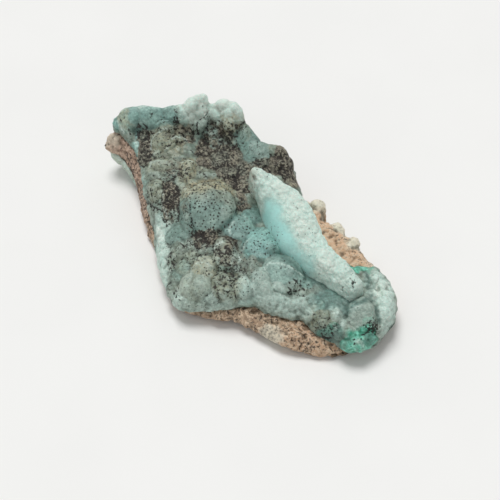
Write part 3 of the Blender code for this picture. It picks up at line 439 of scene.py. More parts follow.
PALE = [
    (-25.6, 16.6, 20, 4.6, 4, -50, 1), (-18.7, 20.4, 20, 4.4, 4.2, 40, 1),
    (-34.6, 13.8, 20, 5.5, 1.6, 34, 0.7), (-36.8, 10.6, 18, 2.3, 1.2, 40, 0.4),
    (-40.6, 10.4, 18, 3, 1.4, 50, 0.6), (-7.8, 18.8, 14, 2.1, 1.9, -50, 0.45),
    (4, 6.4, 20, 5.2, 4.4, -80, 1), (10.8, 4.9, 18, 5.4, 3.8, -45, 1), (17.8, 2.3, 16, 6, 4.1, -40, 1),
    (25.5, 0.1, 14, 4.7, 3.6, -75, 0.95), (30.9, -0.5, 13, 4, 3.1, -70, 0.85),
    (0.4, 6.6, 21, 3.1, 1.9, -50, 1), (-12.8, -12.2, 8, 5.2, 2.4, -50, 0.62),
    (-9.1, -17.1, 5, 4.9, 2.2, -50, 0.72), (0.2, -22.9, 5, 2.8, 2.1, 40, 0.55),
    (18.1, -11.1, 9, 3.3, 3.1, 40, 0.55), (22.2, -9.9, 8, 4.2, 2.8, 40, 0.55),
    (16.8, -5.4, 10, 4.7, 4.3, 40, 0.1), (25, -8.9, 8, 2.8, 2.5, 40, 0.45),
    (32.1, -5.6, 8, 3.7, 2.1, -50, 0.45), (36.2, -2.3, 8, 4.3, 3.5, -50, 0.2),
    (39.2, 3.1, 8, 6.7, 2.3, -50, 0.85), (34, 5.9, 8, 4, 2.8, -50, 0.75),
    (11.8, -13.1, 9, 3.1, 2.6, -50, 0.45), (-26.6, 15, 18, 2.5, 1.9, -50, 0.3),
    (14.6, -11, 9, 3.1, 2.1, -50, 0.4), (1.4, -14.7, 9, 2.5, 2.3, -50, 0.25),
    (2.5, -19.8, 8, 3.5, 3, 40, 0.3), (7.4, -19, 6, 6, 1.6, 38, 0.35)]
EMERALD = [
    (39.6, -7.7, 6, 4, 3.1, 40, 1), (38.6, -9.3, 6, 2.8, 1.8, 40, 0.8), (40.8, -5, 7, 2.5, 1.9, -50, 0.7),
    (28.1, 8.5, 8, 3, 2.4, 40, 1), (30.2, 8.6, 8, 1.6, 1.5, 40, 0.6), (39, -3.2, 8, 2.5, 1.9, -50, 0.45),
    (36.1, -8.8, 7, 2.1, 1.8, 40, 0.4), (32.6, -9.6, 5, 2.8, 1.5, 40, 0.55),
    (41, -0.8, 8, 2.8, 1.6, -50, 0.2)]
WHITE = [
    (-0.4, 6.9, 21, 2.5, 1.2, -50, 0.6), (6.2, 7.9, 20, 2.5, 2, 85, 0.7), (11.2, 6.5, 19, 3, 1.9, -40, 0.6),
    (14.7, 3.3, 17, 2.7, 1.9, -45, 0.7), (17.7, 1.6, 16, 2.4, 1.9, -80, 0.6),
    (24.1, 0, 15, 2.6, 1.9, -90, 0.6), (-17.5, 22, 21, 2.6, 2.2, -50, 0.9),
    (-25.4, 18.8, 21, 2.9, 2.5, 40, 0.9), (-20.3, 21.7, 21, 3.2, 2.2, 40, 0.9),
    (-26.4, 16.4, 18, 2.6, 2.4, 40, 0.7), (35.1, 4.7, 8, 2.5, 1.9, -50, 0.6),
    (-14.4, -11.5, 8, 2.1, 0.9, -50, 0.7), (29.3, -1.4, 13, 2.4, 1.6, 90, 0.4)]
# Painted shade: where these lie, the crust darkens towards a deep green
DEEP_SHADE = [
    (-11.2, 18.1, 14, 4.9, 2.8, -50, 0.5), (-7.1, 19, 14, 2.8, 2.1, -50, 0.6),
    (2.7, 3, 14, 3.1, 2.1, -50, 0.8), (1.9, -2, 12, 3.7, 3.5, -50, 0.3), (28.1, -4, 11, 4.2, 2.1, 40, 0.85),
    (32.3, -3.4, 11, 2.5, 2.1, -50, 0.8), (-10, -10.2, 9, 2.8, 2.8, 40, 0.45),
    (-11.9, -5.5, 12, 2.5, 1.9, -50, 0.45), (-6.3, -4.4, 13, 4.7, 3.1, 40, 0.25),
    (8.8, -2.7, 12, 4.3, 4.2, -50, 0.12), (-34.2, 6.4, 13, 2.5, 2.1, -50, 0.4),
    (-29.1, 1.5, 12, 3.1, 1.6, -50, 0.2), (-9.2, 10.7, 13, 2.8, 2.5, 40, 0.3),
    (-15.1, 12, 13, 2.8, 2.5, 40, 0.3), (23.3, -9.5, 8, 3.3, 2.5, 40, 0.2),
    (7.9, -16, 9, 3.1, 2.8, -50, 0.3), (28.1, 8.5, 8, 2.1, 1.5, 40, 0.2), (31, -9, 8, 3.1, 2.3, -50, 0.3),
    (-21.1, -3.7, 11, 3.1, 2.3, -50, 0.2), (-28.9, 8.2, 12, 3.3, 3.1, 40, 0.25),
    (32.9, 4.7, 8, 4.3, 0.9, -50, 0.5), (36.8, -9.3, 6, 2.1, 1.9, -50, 0.4),
    (40.7, -5.9, 7, 1.9, 1.2, 40, 0.7), (33.6, -9.8, 6, 2.3, 1.2, 40, 0.7),
    (18.2, -9.8, 8, 7, 2.8, 0, 0.16), (2.5, -20, 8, 3, 2.5, 40, 0.15)]
SPECKS = [
    (-7.5, -1.9, 13, 8, 6.6, -50, 1), (-18.8, 4.5, 12, 4.3, 2.1, -50, 0.9),
    (-25.6, 3.5, 12, 4.9, 4.2, -50, 0.6), (1.9, -2, 12, 3.8, 3.7, 40, 0.85),
    (8.4, -2.2, 12, 4.7, 4.6, 40, 0.85), (1.4, -14.7, 9, 3.7, 3.3, -50, 0.8),
    (-0.6, 1.2, 12, 3.3, 3.1, 40, 0.7), (-10.4, 17.4, 14, 4.9, 3.3, -50, 0.45),
    (16.8, -5.4, 10, 4.7, 4.3, 40, 0.3), (9.4, -10.4, 10, 5.5, 3.8, -50, 0.7),
    (4.6, -10.8, 10, 4.9, 2.8, -50, 0.7), (-7.8, -12.5, 9, 4.9, 3.3, -50, 0.6),
    (2.1, -19.6, 7, 3.8, 3.7, 40, 0.45), (-20.6, -3.5, 11, 4.3, 2.8, -50, 0.6),
    (-28.9, 8.2, 12, 4.3, 3.8, -50, 0.4), (14.6, 3.5, 17, 11.7, 3.5, -30, 0.12),
    (-19.2, 17.9, 13, 4.7, 4.3, 40, 0.6), (21.2, -5, 9, 4.7, 3.7, 40, 0.4),
    (30.1, -9.5, 8, 4.3, 2.8, -50, 0.6), (-11.7, 11.5, 13, 5.6, 4.9, 40, 0.4),
    (-3.4, -19.9, 6, 4.9, 2.3, -50, 0.4)]
ZONES = {"manganese": MANGANESE, "ochre": OCHRE, "brown": BROWN, "aqua": AQUA, "pale": PALE,
         "emerald": EMERALD, "white": WHITE, "deep": DEEP_SHADE, "specks": SPECKS}

# Zones by place in plan alone, as (x, y, half length, half width, turn, strength)
SMOOTH_GROUND = [
    (-38, 8, 4.5, 4, -50, 1), (-33, 11, 4.5, 4, 40, 1), (-19, 20, 4.6, 4.2, -50, 0.3),
    (-26, 17, 3.8, 3.2, -50, 0.3), (-11, 18, 5, 3.2, -50, 1), (2, -2, 3.8, 3.6, 40, 1),
    (8, -2, 4.8, 4.3, -17, 1), (17, -5, 5.2, 4.6, -11, 1), (-7, -3, 7.6, 7, -50, 1),
    (3, -9, 4.3, 3, -50, 0.9), (12, -13, 3.4, 2.6, -50, 1), (14, -10, 4, 2.4, -50, 1),
    (36, -2, 4.2, 3.5, -50, 1), (-12, -5, 3, 2.2, -50, 1), (-11, -10, 4, 2.6, 40, 1),
    (26, -4, 5, 2.2, 20, 0.9), (-19, 4, 3.4, 1.8, -50, 1), (-29, 8, 3.2, 3, -50, 1),
    (1, 3, 3.4, 2.6, -50, 0.9), (-13, 11, 4.5, 3.2, 40, 0.8), (2, -19, 4, 3.2, 60, 0.9),
    (2, -15, 3.2, 2.8, -50, 0.8), (-3, -16, 2.4, 2, 40, 0.9), (-25, 2, 3, 2.6, 40, 0.9)]
ROUGH_GROUND = [
    (34, 3, 7, 5, -50, 1), (36, -6, 8, 6, 30, 0.9), (24, -10, 7, 4, 20, 1), (17, -13, 4, 3, 20, 1),
    (9, -18, 8, 3, 38, 0.8), (-14, -12, 3, 8, -50, 0.5), (-4, 18, 6, 5, -50, 0.8), (-3, -9, 4, 3, 40, 0.8),
    (-18, -3, 2.4, 5, 40, 0.8), (-12, 10, 7, 4, 40, 0.7), (8, -12, 4, 5, -50, 0.6),
    (-31, 4, 4, 2, -50, 0.6)]
OVERGROWTH = [
    (9.4, 18.2, 3, 2.6, 40, 0.9), (17.4, 15.6, 2.8, 2, 0, 0.85), (22.6, 14.8, 2.4, 2, -20, 0.8),
    (22.2, -16.4, 3, 1.4, 20, 0.6), (-41.5, 2.4, 2.2, 1.6, 0, 0.4), (30, 12, 3, 1.6, -20, 0.3)]
PLAN_ZONES = {"smooth": SMOOTH_GROUND, "rough": ROUGH_GROUND, "overgrowth": OVERGROWTH}

# Lines and spots drawn on the crust, as (half width, x, y, z, x, y, z, ...): black manganese,
# painted shade in deep green along the gutters, and painted highlights on light translucent rims
DARK_LINES = [
    (0.41, -34.2, 9.7, 18), (0.59, -28.6, 12.2, 17, -28.2, 12.1, 17), (0.25, -31, 8.7, 16, -31, 8.3, 15),
    (0.25, -36.8, 4.4, 15, -36.5, 4.3, 14, -35.8, 3.8, 14), (0.13, -34.1, 9.2, 17, -34, 10.1, 18),
    (0.17, -34.8, 7.3, 16, -33.7, 7.4, 15), (0.13, -39.9, 4.8, 16, -39.4, 4.6, 16),
    (0.13, -38.8, 5.5, 17, -38.8, 5.1, 17), (0.21, -34.4, 4.7, 13, -33.1, 4.8, 13, -32.7, 6.1, 13),
    (0.21, -32.9, 7.5, 14, -31.8, 7.3, 14, -31.6, 6.3, 14), (0.17, -31.1, 9.3, 16, -30.4, 10.3, 17),
    (0.25, -31.2, 2.1, 13, -30.2, 3.2, 13, -28.3, 2.8, 13, -27.4, 2.4, 12),
    (0.25, -29.9, 0.9, 12, -28.1, 1, 12, -27.8, 1.7, 12), (0.25, -30.3, 1.7, 12, -28.5, 1.9, 12),
    (0.21, -27.5, 9.3, 14, -27.6, 10.8, 14, -26.5, 11.7, 14, -25.1, 11.8, 13),
    (0.21, -26.8, 5.8, 13, -26.2, 7, 14, -26.2, 9.2, 13, -25.2, 10.9, 13, -23.6, 11.9, 13),
    (0.17, -29, 9.6, 15, -28.1, 11.1, 15, -26.8, 12.5, 15, -25.5, 12.8, 15),
    (0.13, -27.4, 7.6, 15, -27.8, 8.8, 14), (0.17, -26, 12.7, 14, -24.9, 12.8, 14, -23.7, 12.4, 13),
    (0.23, -29.1, 7.8, 15), (0.23, -29.1, 8.9, 15), (0.21, -29, 7.1, 15), (0.21, -28.4, 7.4, 15),
    (0.21, -28.1, 8.2, 15), (0.21, -28.5, 10.6, 16), (0.21, -27.3, 3.8, 13), (0.21, -27.2, 4.7, 13),
    (0.21, -26.7, 3.4, 13), (0.21, -26.3, 4.4, 12), (0.21, -25.6, 2.8, 13), (0.21, -28.2, 4.5, 13),
    (0.15, -24.4, -1.5, 12, -23.3, -1.7, 12), (0.15, -21.5, 1.3, 13, -20.2, 1.2, 13, -20.2, 0.4, 13),
    (0.17, -22.4, -1.4, 12, -20.9, -0.2, 12, -18.5, 0.6, 12, -17.1, 1, 12),
    (0.17, -21.1, 5.9, 13, -19.8, 3.7, 13, -18.8, 2.3, 13, -17, 1.7, 13), (0.23, -18.8, 4.3, 14),
    (0.23, -18.1, 4.2, 13), (0.29, -18.1, 2.7, 13), (0.35, -17.5, 2, 13), (0.21, -18.7, 5.3, 14),
    (0.17, -23.1, 17.5, 19, -23.2, 16.9, 18, -23.5, 16.1, 17),
    (0.25, -24.2, 14.8, 17, -23.8, 14.2, 15, -23.3, 14.2, 14), (0.15, -23.9, 15.8, 17, -24.2, 14.8, 17),
    (0.17, -15.2, 19.8, 17, -15, 21, 18, -15.3, 21.9, 17), (0.17, -13.8, 19.2, 17, -14.3, 21.7, 17),
    (0.15, -17.6, 18.2, 18, -16.4, 18.6, 18, -15.1, 19.7, 17),
    (0.15, -17.6, 17.5, 17, -15.8, 18.2, 16, -14.8, 19.3, 16),
    (0.21, -20.9, 14.2, 13, -20.8, 15, 14, -19.8, 15.6, 15, -18.6, 16.4, 14, -17.6, 15.8, 13, -16.9, 13.8,
     13, -17.8, 12.7, 13, -19.2, 12.5, 13, -20.9, 14.2, 13),
    (0.17, -18.6, 17.2, 15, -17.2, 17.4, 16, -16.5, 17.2, 15, -17.1, 16.8, 14),
    (0.17, -22.3, 12.9, 13, -21.1, 13, 12, -19.1, 10.9, 13),
    (0.21, -16.1, 15.6, 13, -14.5, 15.8, 13, -12.4, 15.1, 14),
    (0.17, -16.4, 17.4, 15, -15, 18, 15, -14.3, 18.6, 16),
    (0.17, -25.4, 13.4, 15, -24.3, 13.6, 14, -24, 12.4, 13), (0.41, -12.2, 14.8, 14, -11.6, 14.9, 14),
    (0.15, -12.5, 20.5, 16, -11.9, 20.5, 16), (0.17, -9.9, 19.9, 15, -8.9, 18.3, 15),
    (0.21, -9.9, 16.1, 15), (0.21, -8.3, 16, 14), (0.21, -11.5, 17, 15),
    (0.21, -7.9, 16.2, 14, -5.9, 16.3, 14, -4.6, 17.7, 14),
    (0.21, -6.1, 18.9, 15, -4.3, 18.8, 14, -2.5, 20, 14, -2.6, 22.5, 13),
    (0.21, -2.8, 17.3, 14, -0.9, 17.9, 13, -0.1, 19.5, 13),
    (0.21, 0.1, 17.7, 13, 1.5, 18.2, 12, 2.7, 18.3, 11), (0.17, -4.9, 15.8, 13, -3, 15.6, 13),
    (0.21, -0.4, 16.1, 13, 1.5, 16.3, 12), (0.17, -22.1, 9.3, 13, -19.8, 9.5, 12, -17.9, 10.6, 13),
    (0.17, -16.9, 10.4, 13, -13.9, 9, 13, -12, 9.6, 13),
    (0.17, -13.6, 12.4, 13, -12.4, 13.2, 14, -10.7, 13.3, 13),
    (0.17, -18, 6.6, 13, -16, 5.6, 13, -13.2, 4.8, 13), (0.17, -9.1, 10.2, 13, -7.4, 9.1, 13, -6.1, 7, 13),
    (0.17, -4.7, 6.5, 13, -2.6, 4.5, 12, -0.9, 3.9, 12),
    (0.15, -10.3, -4.9, 15, -8.9, -6.5, 14, -7.3, -7.8, 13, -5.6, -8.6, 12),
    (0.15, -5.6, -8.6, 12, -3.3, -7.8, 12, -1.9, -6.3, 13),
    (0.17, -5.2, 5.6, 13, -3.3, 4, 12, -1.5, 0.9, 13),
    (0.15, -15.7, -1, 13, -15.4, 1.2, 13, -12.1, 0.2, 15),
    (0.15, -13.4, -1.5, 14, -11.7, -1, 15, -10.8, 0.5, 15),
    (0.15, -11.4, 2, 15, -9.5, 2.5, 15, -8.8, 4.6, 14), (0.15, -9.8, -1.9, 16, -8.1, -1.7, 16),
    (0.15, -7.9, 0.9, 16, -6.4, 2, 15), (0.47, -18.5, -3, 12, -16.9, -3.9, 12, -15.1, -5.8, 11),
    (0.25, -19.3, -3.6, 12, -17.4, -4.8, 11, -15.4, -6.5, 10),
    (0.25, -17.5, -1.7, 12, -15.8, -2.6, 12, -14.2, -4.3, 12),
    (0.25, -22.9, -5.8, 7, -19.4, -7.3, 9, -16.6, -7.6, 10),
    (0.21, -16.3, -8.3, 10, -14.9, -9, 9, -13.4, -9.7, 9),
    (0.15, -13.5, -8.4, 10, -11.8, -8.2, 10, -10.4, -7.7, 12),
    (0.17, -23.5, -3.4, 11, -22.1, -2.8, 13, -20.9, -2.8, 12), (0.17, -22.2, -5.1, 12, -21.3, -5.7, 10),
    (0.17, -21, -3.7, 12, -20.6, -4.9, 11), (0.21, -7, -9.3, 11, -5, -9.3, 11, -3.4, -8.3, 12),
    (0.21, -4.4, -11.4, 11, -2.2, -11.7, 11, -1.1, -10.5, 12),
    (0.21, -3, -8.8, 12, -0.8, -9.1, 12, 1.2, -10.4, 12),
    (0.17, -2.3, -12.7, 10, 0.2, -13.1, 11, 1, -11.6, 11), (0.47, 3.3, -8.8, 13, 4.6, -9, 13, 5, -9.8, 12),
    (0.23, 4.7, -10.6, 12), (0.17, 2, -10.8, 12, 2.6, -12.2, 12, 3.9, -12.7, 11),
    (0.17, 4, -7.5, 13, 5.2, -7.6, 12), (0.21, -6, -11, 11, -3.9, -11.7, 11),
    (0.21, -7.1, -12.2, 10, -5, -12.5, 10), (0.23, -10.2, -13.2, 8), (0.23, -9.5, -13.7, 8),
    (0.23, -9.1, -14.4, 8), (0.25, -7.8, -15.6, 8, -6.3, -16.4, 8), (0.25, -6.3, -15.7, 8, -5.1, -17.2, 7),
    (0.21, -5.8, -17.5, 7, -4.6, -17.8, 7), (0.23, -3.8, -19.9, 6), (0.23, -3.1, -20.7, 6),
    (0.25, -1.3, -21.8, 6, 0.3, -22.7, 6), (0.15, 0.5, -22.9, 6, 1.8, -23.1, 7), (0.29, 3.3, -16.6, 10),
    (0.23, 4, -14.3, 11), (0.29, 3, -13, 12), (0.21, -2.8, -14.5, 9, -1.9, -13.8, 10, 0.1, -14.4, 11),
    (0.29, 6.1, -19.2, 8), (0.17, 4.9, -15.8, 10, 5.8, -15.1, 10, 7.1, -15.4, 10),
    (0.17, 8.5, -16.8, 10, 9.7, -16.5, 9, 10.2, -15.7, 9), (0.17, 7.1, -17.6, 9, 8.5, -17.9, 9),
    (0.21, 8.3, -14.4, 10, 9.3, -13.2, 10), (0.21, 9.4, -14.7, 10, 10.7, -15.2, 9, 11.6, -15.7, 8),
    (0.25, 8.1, -11.2, 11, 8.5, -11.4, 11), (0.29, 9.8, -11.9, 10), (0.17, 5.9, -12.8, 10, 7.4, -12.8, 10),
    (0.23, 9, -4.8, 13), (0.23, 15.9, -3.6, 13), (0.25, 18.2, -4, 13, 19, -4, 13), (0.23, 11.9, -4.9, 12),
    (0.21, 16.4, -5.7, 13), (0.21, 17.2, -6, 13), (0.21, 16.5, -8.3, 12),
    (0.41, 20.2, -5.9, 12, 20.7, -5.5, 11), (0.21, 19.1, -7, 12, 19.9, -7, 11),
    (0.21, 21, -4.3, 11, 21.4, -5.3, 11), (0.25, 21.2, -7.3, 10, 21.7, -6.7, 9),
    (0.25, 22.3, -5.3, 10, 22.9, -5.4, 9), (0.17, 20, -7.9, 11, 20.8, -7.8, 10),
    (0.17, 21.4, -6, 11, 21.8, -5, 10), (0.17, 20.3, -8.6, 10, 21.1, -7.8, 9),
    (0.53, 31.4, 0.5, 13, 31.9, 0.2, 13), (0.26, 29.9, -0.9, 11), (0.21, 32.4, -0.5, 13),
    (0.41, 31.6, -10.1, 8), (0.29, 30.5, -10.2, 9), (0.23, 28, -9, 8),
    (0.25, 39.4, -4.5, 8, 40.1, -3.7, 8, 40.1, -1.8, 7), (0.25, 40.1, -4.4, 7, 40.5, -3.4, 7),
    (0.21, 40, -3.7, 9, 40.6, -2.7, 7), (0.21, 40, -1.6, 8, 40.7, -2.6, 7),
    (0.15, 38.8, -6.7, 7, 39.4, -5.6, 7, 40, -4.5, 7), (0.23, 38.4, -8.4, 7), (0.23, 39.5, -7.3, 7),
    (0.15, 38.5, -9.5, 6, 38.9, -8.7, 7), (0.21, 31.7, -10.8, 5, 33, -10.3, 5),
    (0.21, 33.4, -9.9, 7, 34, -9.3, 7)]
GUTTER_SHADE_LINES = [
    (1.2, 12.1, -2.7, 13, 13.6, -2.2, 12, 16.4, -3, 13, 19.4, -3.2, 12, 21.5, -2.4, 10, 23.9, -2, 11,
     26.2, -1.9, 9, 29.3, -1.5, 10, 31.6, -1.5, 9),
    (0.7, 32.4, -1.6, 9, 34.8, -2.1, 10, 35.3, -0.9, 11, 35, 2.8, 8),
    (0.82, 30.3, -3.2, 9, 32.3, -3.3, 9, 34.1, -5, 8), (0.47, 37.5, 1.2, 8, 38.8, -0.3, 8, 40, -1.2, 8),
    (0.47, -0.7, -1.6, 14, -0.6, -3.2, 13, -1.2, -4.9, 13),
    (0.59, 29.1, -6.4, 9, 29.9, -4.5, 9, 31.9, -3.9, 9), (0.7, 30.6, -10.9, 6, 33, -10.5, 6, 35, -9.5, 7),
    (0.47, 4.2, -2.6, 13, 5.3, -4.4, 13, 6.1, -5.8, 12),
    (0.35, -1.4, 0.7, 13, 0.9, -0.6, 14, 1.3, -2.6, 14),
    (0.47, -36.7, 4.7, 15, -34.2, 7.2, 15, -31.4, 8.8, 16, -30.4, 10.3, 17, -28.7, 11.9, 17),
    (0.35, -9.9, -5.3, 15, -7.7, -7.7, 13, -5.6, -8.6, 12), (0.47, 30.2, 7.4, 9, 31.9, 6.4, 9, 33, 4.6, 8),
    (0.35, 36.6, 2.4, 9, 35.8, 1.7, 8)]
RIM_HIGHLIGHT_LINES = [
    (0.19, -29.6, 3.9, 13, -30.9, 5.5, 13, -31, 6.7, 14, -30.4, 8.3, 15, -29.2, 9.9, 16),
    (0.19, -26.6, 0, 12, -27.4, 1.3, 12, -25.9, 2.1, 13),
    (0.23, -27.2, 8.8, 14, -27, 10.5, 14, -25.6, 11.3, 13, -24.6, 11.2, 13),
    (0.19, -21.3, 5.1, 13, -20.9, 6.4, 13, -19.3, 6.7, 13), (0.28, -34.5, 3.8, 13, -33.3, 3.1, 13),
    (0.19, -40.4, 4.6, 15, -39.7, 4.1, 14, -37.9, 3.7, 14),
    (0.19, -40.5, 6, 17, -40.4, 6.9, 18, -40, 8.3, 17, -37.8, 9.6, 18),
    (0.28, -37.3, 9.3, 18, -35.6, 11, 18, -33.7, 11.8, 18), (0.38, -29.7, 14.8, 19, -29.6, 13.5, 19),
    (0.38, -27.2, 14, 19, -25.9, 14.2, 18),
    (0.19, -20.9, -3, 13, -18.7, -4.7, 12, -17.5, -6.5, 11, -15.4, -7.6, 10, -13.6, -9.1, 9),
    (0.38, 1.2, -10.4, 12, 1, -9.5, 13, 1.8, -8.3, 13),
    (0.19, 0.8, -18.2, 9, -1.3, -15.6, 9, -0.2, -15.1, 11, 1.5, -14.1, 11, 3.3, -14.1, 11),
    (0.23, -1.7, -20.6, 6, 0.9, -22.3, 7, 2.6, -22.3, 7),
    (0.23, 6.1, -6.2, 11, 5.6, -4.8, 13, 5.7, -3.1, 14), (0.28, 4.4, -7.3, 12, 6.1, -8, 12, 7.6, -9.1, 12),
    (0.23, 1.2, -4.7, 13, 0.1, -3.7, 13, 0, -1.7, 14),
    (0.23, 13.5, -8, 12, 13, -6.8, 12, 13.5, -5.9, 13, 15.5, -4.9, 13, 17.3, -4.4, 13, 19, -4, 13, 20.7,
     -3.3, 11), (0.19, 13, -11.4, 11, 14.5, -12.9, 9), (0.28, 34.4, -5.4, 8, 35.7, -6.1, 8),
    (0.23, 34.2, -3.8, 10, 35, -3.1, 11, 35.7, -2.3, 11), (0.19, 33.5, 7.6, 9, 33.7, 5.9, 9),
    (0.38, 32.8, 6.7, 9, 33.5, 5.8, 9), (0.28, 35.7, 5.4, 8, 36.6, 5.6, 8),
    (0.28, 34.4, 3.4, 8, 34.7, 0.1, 12), (0.28, 36.4, 2, 8, 37.7, 2.4, 9),
    (0.38, 33.2, 1.4, 13, 34.1, 1, 12), (0.23, 31.1, -6.5, 9, 32.2, -5.8, 9, 32.9, -6.3, 9),
    (0.23, 31.6, -7.5, 8, 32.8, -7.7, 8), (0.19, 32.9, -8.6, 8, 33.8, -8.7, 8),
    (0.28, 37.1, -6.6, 8, 37.8, -6, 8), (0.38, 39, -8.4, 7, 40, -7.6, 7, 40.5, -7.8, 6),
    (0.28, -14.1, -11.4, 8, -12.3, -13.1, 8), (0.28, -12.4, -14.3, 6, -10.7, -16.4, 5),
    (0.28, -26, 16.3, 21, -25.7, 15.1, 19), (0.28, -20.1, 19.1, 20, -19.2, 20.3, 21)]
STROKES = {"dark": DARK_LINES, "gutter_shade": GUTTER_SHADE_LINES, "light": RIM_HIGHLIGHT_LINES}

# ---- Form: surfaces like those of the solid part ----
def along(pairs, x):
    """A table of (position, value) pairs read at x, straight between its points."""
    table = np.array(pairs, float)
    return np.interp(x, table[:, 0], table[:, 1])


def spot_height(spots, reach, x, y):
    """Mean of the spot heights, each weighted by exp(-distance^2 / (2 reach^2))."""
    squares = [(x - sx) ** 2 + (y - sy) ** 2 for sx, sy, _ in spots]
    nearest = np.minimum.reduce(squares)
    total, weights = np.zeros(np.shape(x)), np.zeros(np.shape(x))
    for square, (_, _, height) in zip(squares, spots):
        weight = np.exp((nearest - square) / (2.0 * reach ** 2))
        total += weight * height
        weights += weight
    return total / weights


def distance_to_line(line, x, y):
    """Shortest distance in plan to a chain of straight pieces."""
    best = np.full(np.shape(x), np.inf)
    for (ax, ay), (bx, by) in zip(line[:-1], line[1:]):
        length_square = (bx - ax) ** 2 + (by - ay) ** 2
        share = ((x - ax) * (bx - ax) + (y - ay) * (by - ay)) / length_square
        share = np.clip(share, 0.0, 1.0)
        gap = np.hypot(x - ax - share * (bx - ax), y - ay - share * (by - ay))
        best = np.minimum(best, gap)
    return best


def distance_to_outline(front, back, x, y):
    """Shortest distance in plan to the closed outline made by the two edges."""
    return distance_to_line(list(front) + list(back)[::-1] + [front[0]], x, y)


def quarter_round(distance, radius):
    """Rise from 0 to 1 over one radius: sqrt(1 - (1 - d)^2)."""
    inside = np.clip(distance / radius, 0.0, 1.0)
    return np.sqrt(1.0 - (1.0 - inside) ** 2)


def smooth_step(value):
    """Ease from 0 to 1 as value goes from 0 to 1: 3 v^2 - 2 v^3."""
    share = np.clip(value, 0.0, 1.0)
    return share * share * (3.0 - 2.0 * share)


def join_height(x, y):
    """Height of the join between crust and matrix."""
    return spot_height(JOIN_SPOTS, JOIN_REACH, x, y)


def crust_ground(x, y):
    """Basin floor with the back wall on it: the spot heights plus the wall's rise, which is
    half eased and half round."""
    near = (WALL_THICK + WALL_SLOPE - distance_to_line(CRUST_BACK, x, y)) / WALL_SLOPE
    wall = along(WALL_RISE, x) * (smooth_step(near) + quarter_round(near, 1.0)) / 2.0
    return spot_height(FLOOR_SPOTS, FLOOR_REACH, x, y) + wall


def in_ellipse(x, y, row):
    """Place in a turned ellipse (x, y, half length, half width, turn): how far along and across
    it, as shares of its half length and half width."""
    cx, cy, half_length, half_width, turn = row
    cos, sin = np.cos(np.radians(turn)), np.sin(np.radians(turn))
    return (((x - cx) * cos + (y - cy) * sin) / half_length,
            ((y - cy) * cos - (x - cx) * sin) / half_width)


def crust_top(x, y):
    """Upper surface of the crust with its main domes, rounded at its outline to the join."""
    surface = crust_ground(x, y)
    rise = np.zeros(np.shape(x))
    for *row, height in DOMES:
        lengthways, sideways = in_ellipse(x, y, row)
        inside = np.clip(1.0 - lengthways ** 2 - sideways ** 2, 0.0, None)
        rise = np.maximum(rise, height * np.sqrt(inside))
    join = join_height(x, y)
    inset = distance_to_outline(CRUST_FRONT, CRUST_BACK, x, y) - EDGE_INSET
    thick = np.maximum(surface + rise - join, CRUST_LEAST)
    return join + thick * quarter_round(inset, CRUST_ROLL)


def matrix_bottom(x, y):
    """Underside of the matrix: resting patches at 0, shallow hollows, a raised left end."""
    hollows = -HOLLOW_DEPTH * np.cos(x * HOLLOW_TURN_X) * np.cos(y * HOLLOW_TURN_Y)
    return np.maximum(along(LEFT_RAISE, x) + np.clip(hollows, 0.0, None), 0.0)


def matrix_surface(x, y, upper):
    """Top or bottom of the matrix; the two meet at its rim, a share of its thickness up."""
    inset = distance_to_outline(MATRIX_FRONT, MATRIX_BACK, x, y) - MATRIX_INSET
    top = join_height(x, y) - GAP
    bottom = matrix_bottom(x, y)
    begins, fade = FRONT_RIM_FADE
    front = smooth_step((begins - y) / fade)
    rim = bottom + (RIM_SHARE + front * along(FRONT_RIM, x)) * (top - bottom)
    if upper:
        return rim + (top - rim) * quarter_round(inset, MATRIX_ROLL)
    return rim + (bottom - rim) * quarter_round(inset, UNDERCUT)


def patch_surface(x, y, upper):
    """Top or bottom of the pale crust below the matrix: it thins towards its outline."""
    top = matrix_surface(x, y, False) - GAP
    if upper:
        return top
    inset = distance_to_outline(PATCH_FRONT, PATCH_BACK, x, y)
    depth = PATCH_EDGE + PATCH_DEPTH * quarter_round(inset, PATCH_ROLL)
    return np.maximum(top - depth, PATCH_LOWEST)


def two_sides(surface):
    """The top and the bottom of a surface as two forms of (x, y)."""
    return lambda x, y: surface(x, y, True), lambda x, y: surface(x, y, False)


# ---- Grids ----
def smooth_along(values, times):
    """Average each value with its neighbours along the first axis, as (1, 2, 1) / 4."""
    for _ in range(times):
        ends = np.concatenate([values[:1], values, values[-1:]])
        values = (ends[:-2] + 2.0 * values + ends[2:]) / 4.0
    return values


def stations(front, back, count, form, inset):
    """Positions of the sections along X, closer where the form is steep along X and at the
    tips: the running sum of the wanted closeness is cut into equal parts."""
    first = max(front[0][0], back[0][0]) + inset
    last = min(front[-1][0], back[-1][0]) - inset
    probe = np.linspace(first, last, 3 * count)
    share = np.linspace(0.06, 0.94, PROBE_LINES)
    near, far = along(front, probe), along(back, probe)
    y = near[:, None] + (far - near)[:, None] * share
    z = form(np.repeat(probe[:, None], PROBE_LINES, axis=1), y)
    slope = np.percentile(np.abs(np.gradient(z, probe, axis=0)), STEEP_SHARE, axis=1)
    tips = sum(np.exp(-(away / TIP_REACH) ** 2) for away in (probe - first, last - probe))
    closeness = 1.0 + SLOPE_CLOSER * np.clip(slope, 0.0, STEEP_MOST) + TIP_CLOSER * tips
    closeness = smooth_along(closeness, SECTION_BLUR)
    run = np.concatenate([[0.0], np.cumsum((closeness[1:] + closeness[:-1]) / 2.0)])
    return np.interp(np.linspace(0.0, run[-1], count), run, probe)


